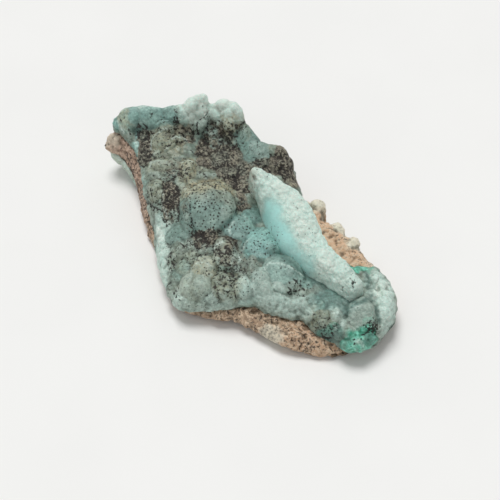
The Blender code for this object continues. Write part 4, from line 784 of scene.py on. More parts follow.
def ring_grid(front, back, counts, forms, inset):
    """Closed rings of points, one per section along X: over the top, evenly by length along
    the surface, and back under the bottom. Top and bottom share their two edges."""
    sections, over, under = counts
    form_top, form_under = forms
    x = stations(front, back, sections, form_top, inset)
    near, far = along(front, x) + inset, along(back, x) - inset
    middle = (near + far) / 2.0
    half = np.maximum((far - near) / 2.0, EDGE_MIN_WIDTH / 2.0)
    fine = 5 * over // 2
    angle = np.linspace(0.0, np.pi, fine)
    y = middle[:, None] - half[:, None] * np.cos(angle)
    z = form_top(np.repeat(x[:, None], fine, axis=1), y)
    run = np.cumsum(np.hypot(np.diff(y, axis=1), np.diff(z, axis=1)), axis=1)
    run = np.concatenate([np.zeros((sections, 1)), run / run[:, -1:]], axis=1)
    run = smooth_along(EVEN_SHARE * run + (1.0 - EVEN_SHARE) * angle / np.pi, EVEN_BLUR)
    even = np.linspace(0.0, 1.0, over)
    top_y, top_z = (np.array([np.interp(even, place, line) for place, line in zip(run, lines)])
                    for lines in (y, z))
    angle = np.linspace(np.pi, 0.0, under + 2)[1:-1]
    under_y = middle[:, None] - half[:, None] * np.cos(angle)
    under_z = form_under(np.repeat(x[:, None], under, axis=1), under_y)
    ring_y = np.concatenate([top_y, under_y], axis=1)
    ring_z = np.concatenate([top_z, under_z], axis=1)
    return np.stack([np.repeat(x[:, None], over + under, axis=1), ring_y, ring_z], axis=-1)


def grid_normals(points):
    """Unit normals of closed rings: the cross product of the two grid directions."""
    lengthways = np.gradient(points, axis=0)
    round_ring = np.roll(points, -1, axis=1) - np.roll(points, 1, axis=1)
    normal = np.cross(lengthways, round_ring)
    normal /= np.maximum(np.linalg.norm(normal, axis=-1, keepdims=True), 1e-9)
    outward = ((points - points.mean(axis=1, keepdims=True)) * normal).sum()
    return normal if outward > 0.0 else -normal


def blurred(points, times):
    """Points averaged with their grid neighbours again and again, which flattens relief."""
    for _ in range(times):
        points = smooth_along(points, 1)
        points = (np.roll(points, 1, axis=1) + 2.0 * points + np.roll(points, -1, axis=1)) / 4.0
    return points


def lattice_place(corner):
    """Where each corner of a cubic lattice stands in a table of random numbers."""
    mixed = [corner[..., axis] * prime for axis, prime in enumerate(LATTICE_PRIMES)]
    return (mixed[0] ^ mixed[1] ^ mixed[2]) & (LATTICE_TABLE - 1)


def noise(points, cell, seed):
    """Value noise from -1 to 1: random numbers on a cubic lattice, eased between corners."""
    table = np.random.default_rng(seed).random(LATTICE_TABLE) * 2.0 - 1.0
    place = points / cell
    corner = np.floor(place).astype(np.int64)
    share = smooth_step(place - corner)
    total = np.zeros(points.shape[:-1])
    for step in np.ndindex(2, 2, 2):
        near = [np.abs(1 - step[axis] - share[..., axis]) for axis in range(3)]
        total += near[0] * near[1] * near[2] * table[lattice_place(corner + step)]
    return total


def billows(points, cell, seed):
    """Noise with sharp crests: 1 - 2 |noise|^0.8."""
    return 1.0 - 2.0 * np.abs(noise(points, cell, seed)) ** 0.8


def knobs(points, cell, seed):
    """Round knobs side by side, from -1 in the creases to 1 on top: 1 - 2.6 d^2, where d is
    the distance in cells to the nearest of a cubic lattice's points, each moved at random."""
    table = np.random.default_rng(seed).random((LATTICE_TABLE, 3))
    place = points / cell
    corner = np.floor(place).astype(np.int64)
    share = place - corner
    nearest = np.full(points.shape[:-1], 9.0)
    for step in np.ndindex(3, 3, 3):
        step = np.array(step) - 1
        away = step + table[lattice_place(corner + step)] - share
        nearest = np.minimum(nearest, (away * away).sum(axis=-1))
    return np.maximum(1.0 - 2.6 * nearest, -1.0)


NOISES = {"cloudy": noise, "billows": billows, "knobs": knobs}


# ---- Lumps ----
class Growth:
    """A closed grid with lumps grown out of it along its normals.

    For each point it keeps the lump that stands highest there: how far out in that lump the
    point is (0 at its middle, 1 at its edge or where there is none), the lump's middle in
    plan, and a random tint of the lump."""
    SLACK = 0.6         # millimetres added to how far a ring's points stray from its middle
    AS_NEAR = 0.2       # points this much further off still count as nearest
    NORMAL_WEIGHT = 0.6     # how much a distance along the normal counts
    SAME_SIDE = -0.2    # least cosine between a point's normal and the lump's
    FLATTEST = 0.2      # least length of the long way once it lies in the tangent plane

    def __init__(self, points, top):
        self.points, self.top = points, top
        self.share = np.ones(points.shape[:2])
        self.middle = points[..., :2].copy()
        self.tint = np.zeros(points.shape[:2])
        self.normals = grid_normals(points)
        self.ring_x = points[..., 0].mean(axis=1)
        self.slant = self.SLACK + np.abs(points[..., 0] - self.ring_x[:, None]).max()
        self.start()

    def start(self):
        """Begin a new layer of lumps on the surface as it is now."""
        self.rise = np.zeros(self.points.shape[:2])

    def find(self, x, y):
        """Index of the point on top that is nearest in plan to (x, y), the highest if several
        lie about as near."""
        part = self.points[:, :self.top]
        gap = np.hypot(part[..., 0] - x, part[..., 1] - y)
        near = gap < gap.min() + self.AS_NEAR
        return np.unravel_index(np.argmax(np.where(near, part[..., 2], -1e9)), gap.shape)

    def lump(self, where, half_length, half_width, turn, height, tint, soft=0.6, power=0.7):
        """One lump: height (1 - q^2)^power along the normal, where q is the distance from its
        middle in the tangent plane as a share of the ellipse, eased over `soft` mm at its
        edge. Where lumps meet the higher one stands."""
        i, j = where
        centre, normal = self.points[i, j], self.normals[i, j]
        reach = max(half_length, half_width)
        near = np.flatnonzero(np.abs(self.ring_x - centre[0]) < reach + self.slant)
        block = slice(near[0], near[-1] + 1)
        offset = self.points[block] - centre
        turn = np.radians(turn)
        long_way = np.array([np.cos(turn), np.sin(turn), 0.0])
        long_way -= normal * (long_way @ normal)
        size = np.linalg.norm(long_way)
        flat = size > self.FLATTEST
        long_way = long_way / size if flat else np.cross(normal, [0.0, 0.0, 1.0])
        side_way = np.cross(normal, long_way)
        q = np.sqrt((offset @ long_way / half_length) ** 2 + (offset @ side_way / half_width) ** 2
                    + self.NORMAL_WEIGHT * (offset @ normal / reach) ** 2)
        inside = np.clip(1.0 - q * q, 0.0, None) ** power
        inside *= smooth_step((1.0 - q) * min(half_length, half_width) / soft)
        inside *= (self.normals[block] @ normal) > self.SAME_SIDE
        higher = (height * inside > self.rise[block]) & (q < 1.0)
        self.rise[block] = np.where(higher, height * inside, self.rise[block])
        self.share[block] = np.where(higher, q, self.share[block])
        self.tint[block] = np.where(higher, tint, self.tint[block])
        self.middle[block] = np.where(higher[..., None], centre[:2], self.middle[block])

    def cover(self, rows, random):
        """Grow a lump for each row of (x, y, half length, half width, turn, height), each with
        a random tint."""
        for x, y, half_length, half_width, turn, height in rows:
            self.lump(self.find(x, y), half_length, half_width, turn, height,
                      random.uniform(-1.0, 1.0))

    def settle(self, strength):
        """Move the points out by what the lumps of this layer add."""
        self.points = self.points + self.normals * (self.rise * strength)[..., None]
        self.normals = grid_normals(self.points)
        self.start()

    def soften(self, times):
        """Round off creases and crests."""
        self.points = blurred(self.points, times)
        self.normals = grid_normals(self.points)

    def shake(self, amount, cell, seed, kind="cloudy"):
        """Roughen: move points along their normals by noise of one cell size."""
        shift = amount * NOISES[kind](self.points, cell, seed)
        self.points = self.points + self.normals * shift[..., None]
        self.normals = grid_normals(self.points)


def wandering(growth, towards_middle, wander):
    """Plan place of each point for judging zones: partly the middle of its lump, so that a lump
    takes one colour, and shifted by noise, so that the zones' edges wander."""
    points = growth.points
    plan = points[..., :2] + towards_middle * (growth.middle - points[..., :2])
    shift = [wander * noise(points, 2.6, seed) + 0.5 * wander * noise(points, 0.9, seed + 1)
             for seed in (11, 13)]
    return plan[..., 0] + shift[0], plan[..., 1] + shift[1]


def zone_share(away):
    """1 well inside a patch and 0 outside, from a distance as a share of its radius."""
    return smooth_step((ZONE_REACH - away) / ZONE_FADE)


def plan_zone(name, growth, wander=1.0):
    """How much a point lies in a zone given in plan: the greatest of its patches, each full
    in its inner part and fading over its edge."""
    x, y = wandering(growth, 0.0, wander)
    found = np.zeros(x.shape)
    for *row, weight in PLAN_ZONES[name]:
        found = np.maximum(found, weight * zone_share(np.hypot(*in_ellipse(x, y, row))))
    return found


def zone(name, growth, towards_middle=0.55, wander=0.9):
    """The same for a zone whose patches also have a height: a patch fades out above and
    below the height of its middle."""
    x, y = wandering(growth, towards_middle, wander)
    z = growth.points[..., 2]
    found = np.zeros(x.shape)
    for cx, cy, cz, half_length, half_width, turn, weight in ZONES[name]:
        away = np.maximum(z - cz - ZONE_ABOVE, 0.0) + np.maximum(cz - z - ZONE_BELOW, 0.0)
        away = away / (ZONE_DEPTH[0] + ZONE_DEPTH[1] * half_length)
        in_plan = np.hypot(*in_ellipse(x, y, (cx, cy, half_length, half_width, turn)))
        q = np.hypot(in_plan, away)
        found = np.maximum(found, weight * zone_share(q))
    return found


def strokes(name, growth):
    """How near each point is to the lines of one kind: 1 on a line, a half at its edge,
    nothing two thirds of its half width further out. Heights count a fifth."""
    squash = np.array([1.0, 1.0, STROKE_FLATNESS])
    points = growth.points * squash
    found = np.zeros(points.shape[:2])
    for half_width, *numbers in STROKES[name]:
        line = np.array(numbers, float).reshape(-1, 3) * squash
        line = np.concatenate([line, line[-1:]])
        low, high = line.min(axis=0) - 2.0 * half_width, line.max(axis=0) + 2.0 * half_width
        near = ((points > low) & (points < high)).all(axis=-1)
        place, best = points[near], np.full(near.sum(), np.inf)
        for start, end in zip(line[:-1], line[1:]):
            way = end - start
            share = np.clip((place - start) @ way / max(way @ way, 1e-9), 0.0, 1.0)
            away = np.linalg.norm(place - start - share[:, None] * way, axis=1)
            best = np.minimum(best, away)
        found[near] = np.maximum(found[near], np.clip(1.25 - 0.75 * best / half_width, 0, 1))
    return found


def hollow(growth, times):
    """How deep each point lies below the surface averaged around it, in millimetres."""
    return ((blurred(growth.points, times) - growth.points) * growth.normals).sum(axis=-1)


# ---- Meshes ----
def closed_mesh(name, growth, values, material):
    """Object from closed rings: quads between neighbouring rings and a fan at each tip."""
    points = np.clip(growth.points * MM, BOX_LOW, BOX_HIGH)
    rings, around = points.shape[:2]
    tips = np.stack([points[0].mean(axis=0), points[-1].mean(axis=0)])
    vertices = np.concatenate([points.reshape(-1, 3), tips])
    index = np.arange(rings * around).reshape(rings, around)
    after = np.roll(index, -1, axis=1)
    quads = np.stack([index[:-1], index[1:], after[1:], after[:-1]], axis=-1).reshape(-1, 4)
    first = np.stack([index[0], after[0], np.full(around, rings * around)], axis=-1)
    last = np.stack([after[-1], index[-1], np.full(around, rings * around + 1)], axis=-1)
    a, b, c, d = (vertices[quads[:, k]] for k in range(4))
    volume = (np.cross(a, b) * c).sum() + (np.cross(a, c) * d).sum()
    faces = quads.tolist() + first.tolist() + last.tolist()
    if volume < 0.0:
        faces = [face[::-1] for face in faces]
    mesh = bpy.data.meshes.new(name)
    mesh.from_pydata(vertices.tolist(), [], faces)
    for key, value in values.items():
        ends = [value[0].mean(), value[-1].mean()]
        attribute = mesh.attributes.new(key, "FLOAT", "POINT")
        attribute.data.foreach_set("value", np.concatenate([value.ravel(), ends]).astype("f"))
    mesh.materials.append(material)
    mesh.shade_smooth()
    mesh.update()
    made = bpy.data.objects.new(name, mesh)
    bpy.context.scene.collection.objects.link(made)
    return made


def crust_values(growth):
    """Named values for the crust's finish at each point."""
    fine, broad = hollow(growth, FINE_BLUR), hollow(growth, BROAD_BLUR)
    values = {name: zone(name, growth) for name in ZONES}
    share = growth.share
    # rim: painted highlight, a pale ring where each lump thins at its edge
    values["rim"] = smooth_step((share - 0.55) / 0.3) * smooth_step((1.0 - share) / 0.08)
    # crease: painted shade, darker in hollows; the same mask lets the manganese net reach further
    values["crease_shade"] = np.clip(fine * 9.0 + broad * 0.9, 0.0, 1.0)
    # crest: painted highlight, lighter on crests
    values["crest"] = np.clip(-fine * 9.0 - broad * 0.7, 0.0, 1.0)
    values["tint"] = growth.tint
    values["sugar"] = np.maximum(values["pale"], plan_zone("rough", growth))
    values["glow"] = np.zeros(share.shape)
    # Painted shade: deep green from the shade zones and along the gutter lines
    values["deep"] = np.maximum(values["deep"], 0.85 * strokes("gutter_shade", growth))
    # The lines of the third kind are painted highlights along translucent rims
    values["line"], values["rim highlight line"] = strokes("dark", growth), strokes("light", growth)
    return values


# ---- Ridge: a section carried along a path ----
def ridge_rings(sections, around):
    """Closed rings across the ridge's path. Above its foot a ring is a squarish round:
    sideways w |cos|^(2/n), upwards h |sin|^(2/n); below it, a shallow bowl. At both ends the
    rings shrink along the same curve, so the ends are rounded steeply."""
    path = np.array(RIDGE_PATH)
    knots = np.concatenate([[0.0], np.cumsum(np.hypot(*np.diff(path[:, :2], axis=0).T))])
    fine = np.linspace(0.0, knots[-1], RIDGE_FINE)
    line = np.stack([np.interp(fine, knots, path[:, k]) for k in range(5)], axis=1)
    line = smooth_along(line, RIDGE_BLUR)
    start_round, end_round = RIDGE_ENDS
    turn = np.linspace(0.0, np.pi, sections)
    even = np.linspace(0.0, 1.0, sections)
    closer = (1.0 - RIDGE_EVEN) * (1 - np.cos(turn)) / 2
    run = (knots[-1] + start_round + end_round) * (RIDGE_EVEN * even + closer) - start_round
    beyond = np.where(run < 0.0, -run / start_round, (run - knots[-1]) / end_round)
    power = RIDGE_SQUARENESS
    beyond = np.clip(beyond, 0.0, 0.9999)
    shrink = (1.0 - beyond ** power) ** (1.0 / power)
    narrow = np.where(run < 0.0, 1.0 - beyond ** RIDGE_TIP, shrink)
    at = np.clip(run, 0.0, knots[-1])
    x, y, width, height, flare = (np.interp(at, fine, line[:, k]) for k in range(5))
    heading = np.gradient(line[:, :2], axis=0)
    heading /= np.linalg.norm(heading, axis=1, keepdims=True)
    heading = smooth_along(heading, HEADING_BLUR)
    head_x, head_y = (np.interp(at, fine, heading[:, k]) for k in (0, 1))
    over = run - at
    x, y = x + over * head_x, y + over * head_y
    low = RIDGE_FOOT_TURN
    angle = np.linspace(-low * np.pi, (1.0 + low) * np.pi, around - RIDGE_FOOT_POINTS)
    foot_angle = np.linspace((1.0 + low) * np.pi, (2.0 - low) * np.pi, RIDGE_FOOT_POINTS + 2)[1:-1]
    angle = np.concatenate([angle, foot_angle])
    cos, sin = np.cos(angle), np.sin(angle)
    side = np.sign(cos) * np.abs(cos) ** (2.0 / power)
    lift = np.where(sin > 0.0, np.abs(sin) ** (2.0 / power), 0.0)
    sunk = np.where(sin < 0.0, -sin, 0.0)
    width = np.maximum(width * narrow, RIDGE_THINNEST)
    hang, hang_length = RIDGE_LEAN
    lean = hang * smooth_step(1.0 - (run + start_round) / hang_length)
    flare = flare * shrink
    x, y, head_x, head_y, width, height, shrink, lean, flare = (
        one[:, None] for one in (x, y, head_x, head_y, width, height, shrink, lean, flare))
    lean = lean * (1.0 - lift)
    across_x = x - head_y * width * side + head_x * lean
    across_y = y + head_x * width * side + head_y * lean
    ground = np.minimum(crust_ground(x, y), crust_ground(across_x, across_y))
    foot = ground - RIDGE_SINK
    tilt = RIDGE_TILT * side * width * lift
    flare = flare * np.clip(1.0 - lift, 0.0, 1.0) * (side < 0.0)
    across_x += head_y * flare
    across_y -= head_x * flare
    z = foot + (height + tilt - foot) * lift * shrink - RIDGE_BOWL * sunk
    return np.stack([across_x, across_y, z], axis=-1)


# ---- Finishes ----
def paint(red, green, blue):
    """A screen colour, 0 to 255, as the linear colour that shaders use."""
    value = np.array([red, green, blue]) / 255.0
    linear = np.where(value <= 0.04045, value / 12.92, ((value + 0.055) / 1.055) ** 2.4)
    return (*[float(v) for v in linear], 1.0)


class Nodes:
    """Short ways to add nodes to a material and join them."""

    def __init__(self, material):
        self.tree = material.node_tree
        self.shader = self.tree.nodes["Principled BSDF"]
        self.place = self.tree.nodes.new("ShaderNodeTexCoord").outputs["Object"]

    def set(self, socket, value):
        """Join an output to the socket, or set the socket's own value."""
        if isinstance(value, bpy.types.NodeSocket):
            self.tree.links.new(value, socket)
        else:
            socket.default_value = value

    def put(self, name, value):
        """The same for a socket of the shader."""
        self.set(self.shader.inputs[name], value)

    def value(self, name):
        """A named value of the mesh."""
        node = self.tree.nodes.new("ShaderNodeAttribute")
        node.attribute_name = name
        return node.outputs["Fac"]

    def noise(self, scale, detail=3.0, roughness=0.55, shift=0.0):
        """Cloudy noise, about 0.25 to 0.75."""
        node = self.tree.nodes.new("ShaderNodeTexNoise")
        place = self.place
        if shift:
            move = self.tree.nodes.new("ShaderNodeVectorMath")
            self.set(move.inputs[0], place)
            move.inputs[1].default_value = (shift, shift * 0.7, -shift)
            place = move.outputs["Vector"]
        self.set(node.inputs["Vector"], place)
        node.inputs["Scale"].default_value = scale
        node.inputs["Detail"].default_value = detail
        node.inputs["Roughness"].default_value = roughness
        return node.outputs["Fac"]

    def cells(self, scale, output="Distance"):
        """Cells of a Voronoi pattern."""
        node = self.tree.nodes.new("ShaderNodeTexVoronoi")
        self.set(node.inputs["Vector"], self.place)
        node.inputs["Scale"].default_value = scale
        return node.outputs[output]

    def math(self, operation, first, second, third=None, clamp=False):
        """One Math node."""
        node = self.tree.nodes.new("ShaderNodeMath")
        node.operation, node.use_clamp = operation, clamp
        self.set(node.inputs[0], first)
        self.set(node.inputs[1], second)
        if third is not None:
            self.set(node.inputs[2], third)
        return node.outputs["Value"]

    def times(self, first, second):
        """Product of two values."""
        return self.math("MULTIPLY", first, second)

    def plus(self, first, second):
        """Sum of two values."""
        return self.math("ADD", first, second)

    def line(self, value, slope, start, clamp=False):
        """The start plus the slope times the value."""
        return self.math("MULTIPLY_ADD", value, slope, start, clamp)

    def ramp(self, value, low, high, to_low=0.0, to_high=1.0):
        """Map low..high to to_low..to_high, eased and held at the ends."""
        node = self.tree.nodes.new("ShaderNodeMapRange")
        node.interpolation_type = "SMOOTHSTEP"
        self.set(node.inputs["Value"], value)
        for key, number in (("From Min", low), ("From Max", high),
                            ("To Min", to_low), ("To Max", to_high)):
            self.set(node.inputs[key], number)
        return node.outputs["Result"]

    def mix(self, share, first, second, blend="MIX"):
        """Mix two colours by a share."""
        node = self.tree.nodes.new("ShaderNodeMix")
        node.data_type, node.blend_type = "RGBA", blend
        self.set(node.inputs[0], share)
        self.set(node.inputs[6], first)
        self.set(node.inputs[7], second)
        return node.outputs[2]

    def bump(self, height, distance, normal=None):
        """Relief from a height, `distance` metres deep."""
        node = self.tree.nodes.new("ShaderNodeBump")
        node.inputs["Strength"].default_value = 1.0
        node.inputs["Distance"].default_value = distance
        self.set(node.inputs["Height"], height)
        if normal is not None:
            self.set(node.inputs["Normal"], normal)
        return node.outputs["Normal"]


def new_material(name):
    """An empty Principled material."""
    material = bpy.data.materials.new(name)
    material.use_nodes = True
    return material


def clean_crust(n, look, cloud, fine, web):
    """The crust's colour before its dust and manganese: grey-green with turquoise and pale
    zones, the ridge's flank lightened partly as painted glow, white veins, ochre and copper
    stains, lumps lightened at random, and painted highlights on rims and crests."""
    colour = n.mix(n.ramp(cloud, 0.35, 0.65), look.grey_green, look.grey_green_deep)
    colour = n.mix(n.value("aqua"), colour,
                   n.mix(n.ramp(cloud, 0.4, 0.62), look.turquoise, look.turquoise_deep))
    # The ridge's flank: its clear turquoise, lightened partly as painted glow
    colour = n.mix(n.value("glow"), colour, look.flank_glow)
    colour = n.mix(n.value("pale"), colour,
                   n.mix(n.ramp(n.plus(fine, cloud), 0.9, 1.15), look.pale, look.pale_green))
    colour = n.mix(n.times(n.value("white"), n.ramp(fine, 0.36, 0.56)), colour, look.white)
    vein = n.ramp(n.math("ABSOLUTE", n.math("SUBTRACT", web, 0.5), 0.0), 0.01, 0.04, 1.0, 0.0)
    colour = n.mix(n.times(n.value("pale"), vein), colour, look.white)
    ochre = n.times(n.value("ochre"), n.ramp(fine, 0.34, 0.58, 0.35, 1.0))
    colour = n.mix(ochre, colour, look.ochre)
    emerald = n.mix(n.ramp(n.noise(*COPPER), 0.42, 0.6), look.emerald, look.emerald_light)
    copper = n.ramp(n.plus(n.value("emerald"), n.times(cloud, 0.5)), 0.55, 0.95)
    colour = n.mix(copper, colour, emerald)
    tint = n.line(n.value("tint"), 0.5, 0.5)
    colour = n.mix(n.times(tint, 0.14), colour, look.lump_light)
    # Painted highlights: a pale ring at each lump's edge and on crests
    colour = n.mix(n.times(n.value("rim"), 0.12), colour, look.rim)
    return n.mix(n.times(n.value("crest"), 0.2), colour, look.rim)


def manganese_film(n, fine, grit, web):
    """Where black manganese lies: as dots, as a fine net and along the drawn lines."""
    patchy = n.ramp(n.noise(*PATCHY), 0.36, 0.6, 0.55, 1.0)
    dark = n.line(n.value("brown"), 0.5, n.value("manganese"), clamp=True)
    dark = n.times(dark, patchy)
    chance = n.ramp(n.cells(DOT_CELLS, "Color"), 0.05, 0.6, 0.55, 1.0)
    reach = n.times(n.times(n.value("specks"), chance), 0.36)
    reach = n.line(dark, 0.2, reach)
    away = n.plus(n.cells(DOT_CELLS), n.line(fine, 0.3, -0.15))
    dots = n.ramp(away, n.math("SUBTRACT", reach, 0.05), n.plus(reach, 0.02), 1.0, 0.0)
    reach = n.line(dark, 0.16, 0.36)
    # The crease mask, which also paints shade, lets the net reach further into creases
    reach = n.line(n.value("crease_shade"), n.times(dark, 0.12), reach)
    net = n.ramp(web, n.math("SUBTRACT", reach, 0.02), n.plus(reach, 0.015), 1.0, 0.0)
    anywhere = n.ramp(n.plus(n.value("manganese"), n.value("specks")), 0.03, 0.15)
    film = n.times(n.math("MAXIMUM", dots, net), anywhere)
    line = n.line(n.math("SUBTRACT", 0.5, web), 3.2, n.value("line"))
    line = n.line(n.math("SUBTRACT", 0.5, grit), 2.4, line)
    drawn = n.times(n.ramp(line, 0.62, 0.8), n.ramp(n.value("line"), 0.1, 0.3))
    return n.math("MAXIMUM", film, drawn)


def crust_finish(name, look):
    """Waxy blue-green crust: zones of colour by named values, a brown-grey dusting mottled with
    light grains, creases darkened as painted shade, deep green painted shade, painted highlights
    along the drawn rim lines, black manganese, and sugary relief where it is pale."""
    material = new_material(name)
    n = Nodes(material)
    cloud, fine, grit, web = (n.noise(*row) for row in (CLOUDS, FINE, GRIT, WEB))
    colour = clean_crust(n, look, cloud, fine, web)
    dust = n.plus(n.times(n.value("brown"), 0.62), n.noise(*DUST))
    dust = n.times(n.ramp(dust, 0.62, 0.92), n.ramp(n.value("brown"), 0.02, 0.2))
    colour = n.mix(dust, colour, n.mix(n.ramp(fine, 0.36, 0.62), look.brown, look.brown_light))
    # Painted shade: towards deep green in gutters and shaded hollows
    colour = n.mix(n.times(n.value("deep"), n.ramp(fine, 0.3, 0.6, 0.7, 1.0)), colour, look.deep)
    # Painted highlights: the drawn rim lines lightened towards the rim colour
    light = n.times(n.value("rim highlight line"), n.ramp(grit, 0.35, 0.6, 0.2, 0.7))
    colour = n.mix(light, colour, look.rim)
    # Painted shade: creases darkened, more so under the dust
    shaded = n.times(n.value("crease_shade"), n.line(dust, 0.4, 0.45))
    colour = n.mix(shaded, colour, look.crease_shade, "MULTIPLY")
    # Grain tone by the grit noise, which also lifts the sugary relief: partly random grain, partly painted
    # shade in its low parts
    gritty = n.math("MAXIMUM", dust, n.line(n.value("pale"), -0.3, 0.5))
    gritty = n.times(gritty, n.line(n.value("glow"), -0.85, 1.0))
    dim, bright = n.line(gritty, -0.55, 1.0), n.line(gritty, 0.42, 1.0)
    colour = n.mix(1.0, colour, n.ramp(grit, 0.36, 0.64, dim, bright), "MULTIPLY")
    light = n.times(n.ramp(web, 0.56, 0.62), n.times(dust, 0.7))
    colour = n.mix(light, colour, look.grain_light)
    film = manganese_film(n, fine, grit, web)
    colour = n.mix(n.times(film, 0.92), colour,
                   n.mix(n.ramp(grit, 0.42, 0.7), look.manganese, look.manganese_brown))
    n.put("Base Color", colour)
    dull = n.math("MAXIMUM", film, n.times(dust, 0.6))
    rough = n.line(dull, 0.2, 0.5)
    n.put("Roughness", n.line(n.value("pale"), 0.14, rough))
    grain = n.math("MAXIMUM", n.line(n.value("sugar"), 0.5, 0.5), dust)
    grain = n.times(grain, n.line(n.value("glow"), -0.95, 1.0))
    sugar = n.times(n.plus(n.noise(*SUGAR), grit), grain)
    normal = n.bump(sugar, look.sugar_depth)
    cells = n.times(n.cells(SUGAR_CELLS), n.times(grain, 0.6))
    normal = n.bump(cells, look.sugar_depth, normal)
    normal = n.bump(film, look.film_depth, normal)
    n.put("Normal", normal)
    n.put("Subsurface Weight", n.line(n.value("glow"), 0.3, 0.3))
    n.put("Subsurface Radius", (0.7, 1.0, 1.0))
    n.put("Subsurface Scale", n.line(n.value("glow"), 0.003, 0.0004))
    n.put("IOR", 1.55)
    n.put("Specular IOR Level", 0.35)
    return material


def matrix_finish(name, look):
    """Sandy brown rock: tan and pink-brown grains, cream veins, dark iron specks, and the
    crust's green where it has grown over it."""
    material = new_material(name)
    n = Nodes(material)
    cloud, grain = n.noise(*ROCK_CLOUDS), n.noise(*ROCK_GRAIN)
    colour = n.mix(n.ramp(cloud, 0.36, 0.62), look.rock, look.rock_dark)
    colour = n.mix(n.ramp(grain, 0.44, 0.62), colour, look.rock_light)
    colour = n.mix(n.times(n.value("pink"), 0.8), colour,
                   n.mix(n.ramp(grain, 0.42, 0.6), look.pink, look.pink_light))
    colour = n.mix(n.times(n.value("orange"), 0.7), colour,
                   n.mix(n.ramp(grain, 0.42, 0.6), look.orange, look.rock_light))
    colour = n.mix(n.value("grown"), colour, look.grown)
    # Painted shade: the rock's hollows darkened
    colour = n.mix(n.times(n.value("crease_shade"), 0.8), colour, look.crease_shade, "MULTIPLY")
    specks = n.plus(n.noise(*IRON_SPECKS), n.times(n.value("iron"), 0.2))
    specks = n.ramp(specks, 0.64, 0.72)
    specks = n.times(specks, n.line(n.value("grown"), -0.6, 0.85))
    colour = n.mix(specks, colour, look.manganese)
    n.put("Base Color", colour)
    n.put("Roughness", n.line(n.value("grown"), -0.35, 0.85))
    normal = n.bump(n.noise(*ROCK_RELIEF), look.sugar_depth * ROCK_DEPTH)
    n.put("Normal", n.bump(grain, look.sugar_depth * ROCK_DEPTH, normal))
    n.put("Subsurface Weight", 0.08)
    n.put("Subsurface Radius", (1.0, 0.8, 0.6))
    n.put("Subsurface Scale", 0.0006)
    return material


# ---- What a user would change ----
def swatch(name, description, screen_colour):
    """A colour property whose default is given as a screen colour."""
    return FloatVectorProperty(
        name=name, description=description, subtype="COLOR", size=4, min=0.0, max=1.0,
        default=paint(*screen_colour))


class SpecimenForm(bpy.types.PropertyGroup):
    """Sizes of the relief that lies on the main form."""
    lump_height: FloatProperty(
        name="Lump height", description="Height of the round lumps, as a share of the usual",
        default=0.8, min=0.0, max=2.0, subtype="FACTOR")
    grain_height: FloatProperty(
        name="Grain height", description="Height of the crystal grain, in millimetres",
        default=0.09, min=0.0, max=0.3)
    rock_grain_height: FloatProperty(
        name="Rock grain height", description="Height of the matrix's grain, in millimetres",
        default=0.22, min=0.0, max=0.5)


class SpecimenLook(bpy.types.PropertyGroup):
    """Colours of the finishes."""
    grey_green: swatch("Grey green", "Plain crust in the basin", (134, 148, 134))
    grey_green_deep: swatch("Deep grey green", "Its darker clouds", (107, 124, 112))
    turquoise: swatch("Turquoise", "Smooth blue-green crust", (134, 184, 176))
    turquoise_deep: swatch("Deep turquoise", "Its darker clouds", (106, 154, 149))
    # Partly the flank's own turquoise, partly painted glow
    flank_glow: swatch("Flank", "Clear turquoise side of the ridge", (178, 232, 226))
    pale: swatch("Pale", "Sugary pale crust", (204, 234, 224))
    pale_green: swatch("Pale green", "Its darker grain", (192, 222, 211))
    white: swatch("White", "Fresh white crystal", (226, 234, 224))
    brown: swatch("Brown", "Brown-grey dusting", (99, 94, 84))
    brown_light: swatch("Light brown", "Its lighter grains", (148, 143, 125))
    ochre: swatch("Ochre", "Yellow-olive stain", (162, 151, 114))
    emerald: swatch("Emerald", "Green copper crust", (52, 156, 126))
    emerald_light: swatch("Light emerald", "Its lighter grain", (108, 208, 182))
    lump_light: swatch("Lump light", "Lighter tint of single lumps", (205, 218, 204))
    # Painted shade: the deep green of gutters and shaded lumps
    deep: swatch("Deep green", "Gutters and shaded lumps", (86, 116, 108))
    # Painted highlight: the colour of lit rims, crests and the drawn rim lines
    rim: swatch("Rim", "Pale translucent rims of lumps", (206, 224, 214))
    # Painted shade: the colour that creases are darkened by
    crease_shade: swatch("Crease", "Tint of the creases between lumps", (112, 110, 98))
    grain_light: swatch("Light grain", "Light grains in the dusting", (158, 158, 140))
    manganese: swatch("Manganese", "Black net, dots and lines", (30, 28, 26))
    manganese_brown: swatch("Brown manganese", "Its lighter grains", (60, 51, 44))
    rock: swatch("Rock", "Tan matrix", (186, 160, 134))
    rock_dark: swatch("Dark rock", "Its darker clouds", (152, 126, 102))
    rock_light: swatch("Light rock", "Its cream grains", (226, 202, 174))
    pink: swatch("Pink rock", "Pink-brown matrix at the left end", (172, 146, 129))
    pink_light: swatch("Light pink rock", "Its lighter grains", (208, 182, 162))
    orange: swatch("Orange rock", "Orange-tan matrix at the right", (236, 196, 160))
    grown: swatch("Overgrowth", "Grey-green growth on the matrix", (240, 238, 218))
    sugar_depth: FloatProperty(
        name="Sugar depth", description="Depth of the sugary relief", default=0.00015,
        min=0.0, max=0.001, unit="LENGTH")
    film_depth: FloatProperty(
        name="Film depth", description="Thickness of the manganese films", default=0.00004,
        min=0.0, max=0.0005, unit="LENGTH")


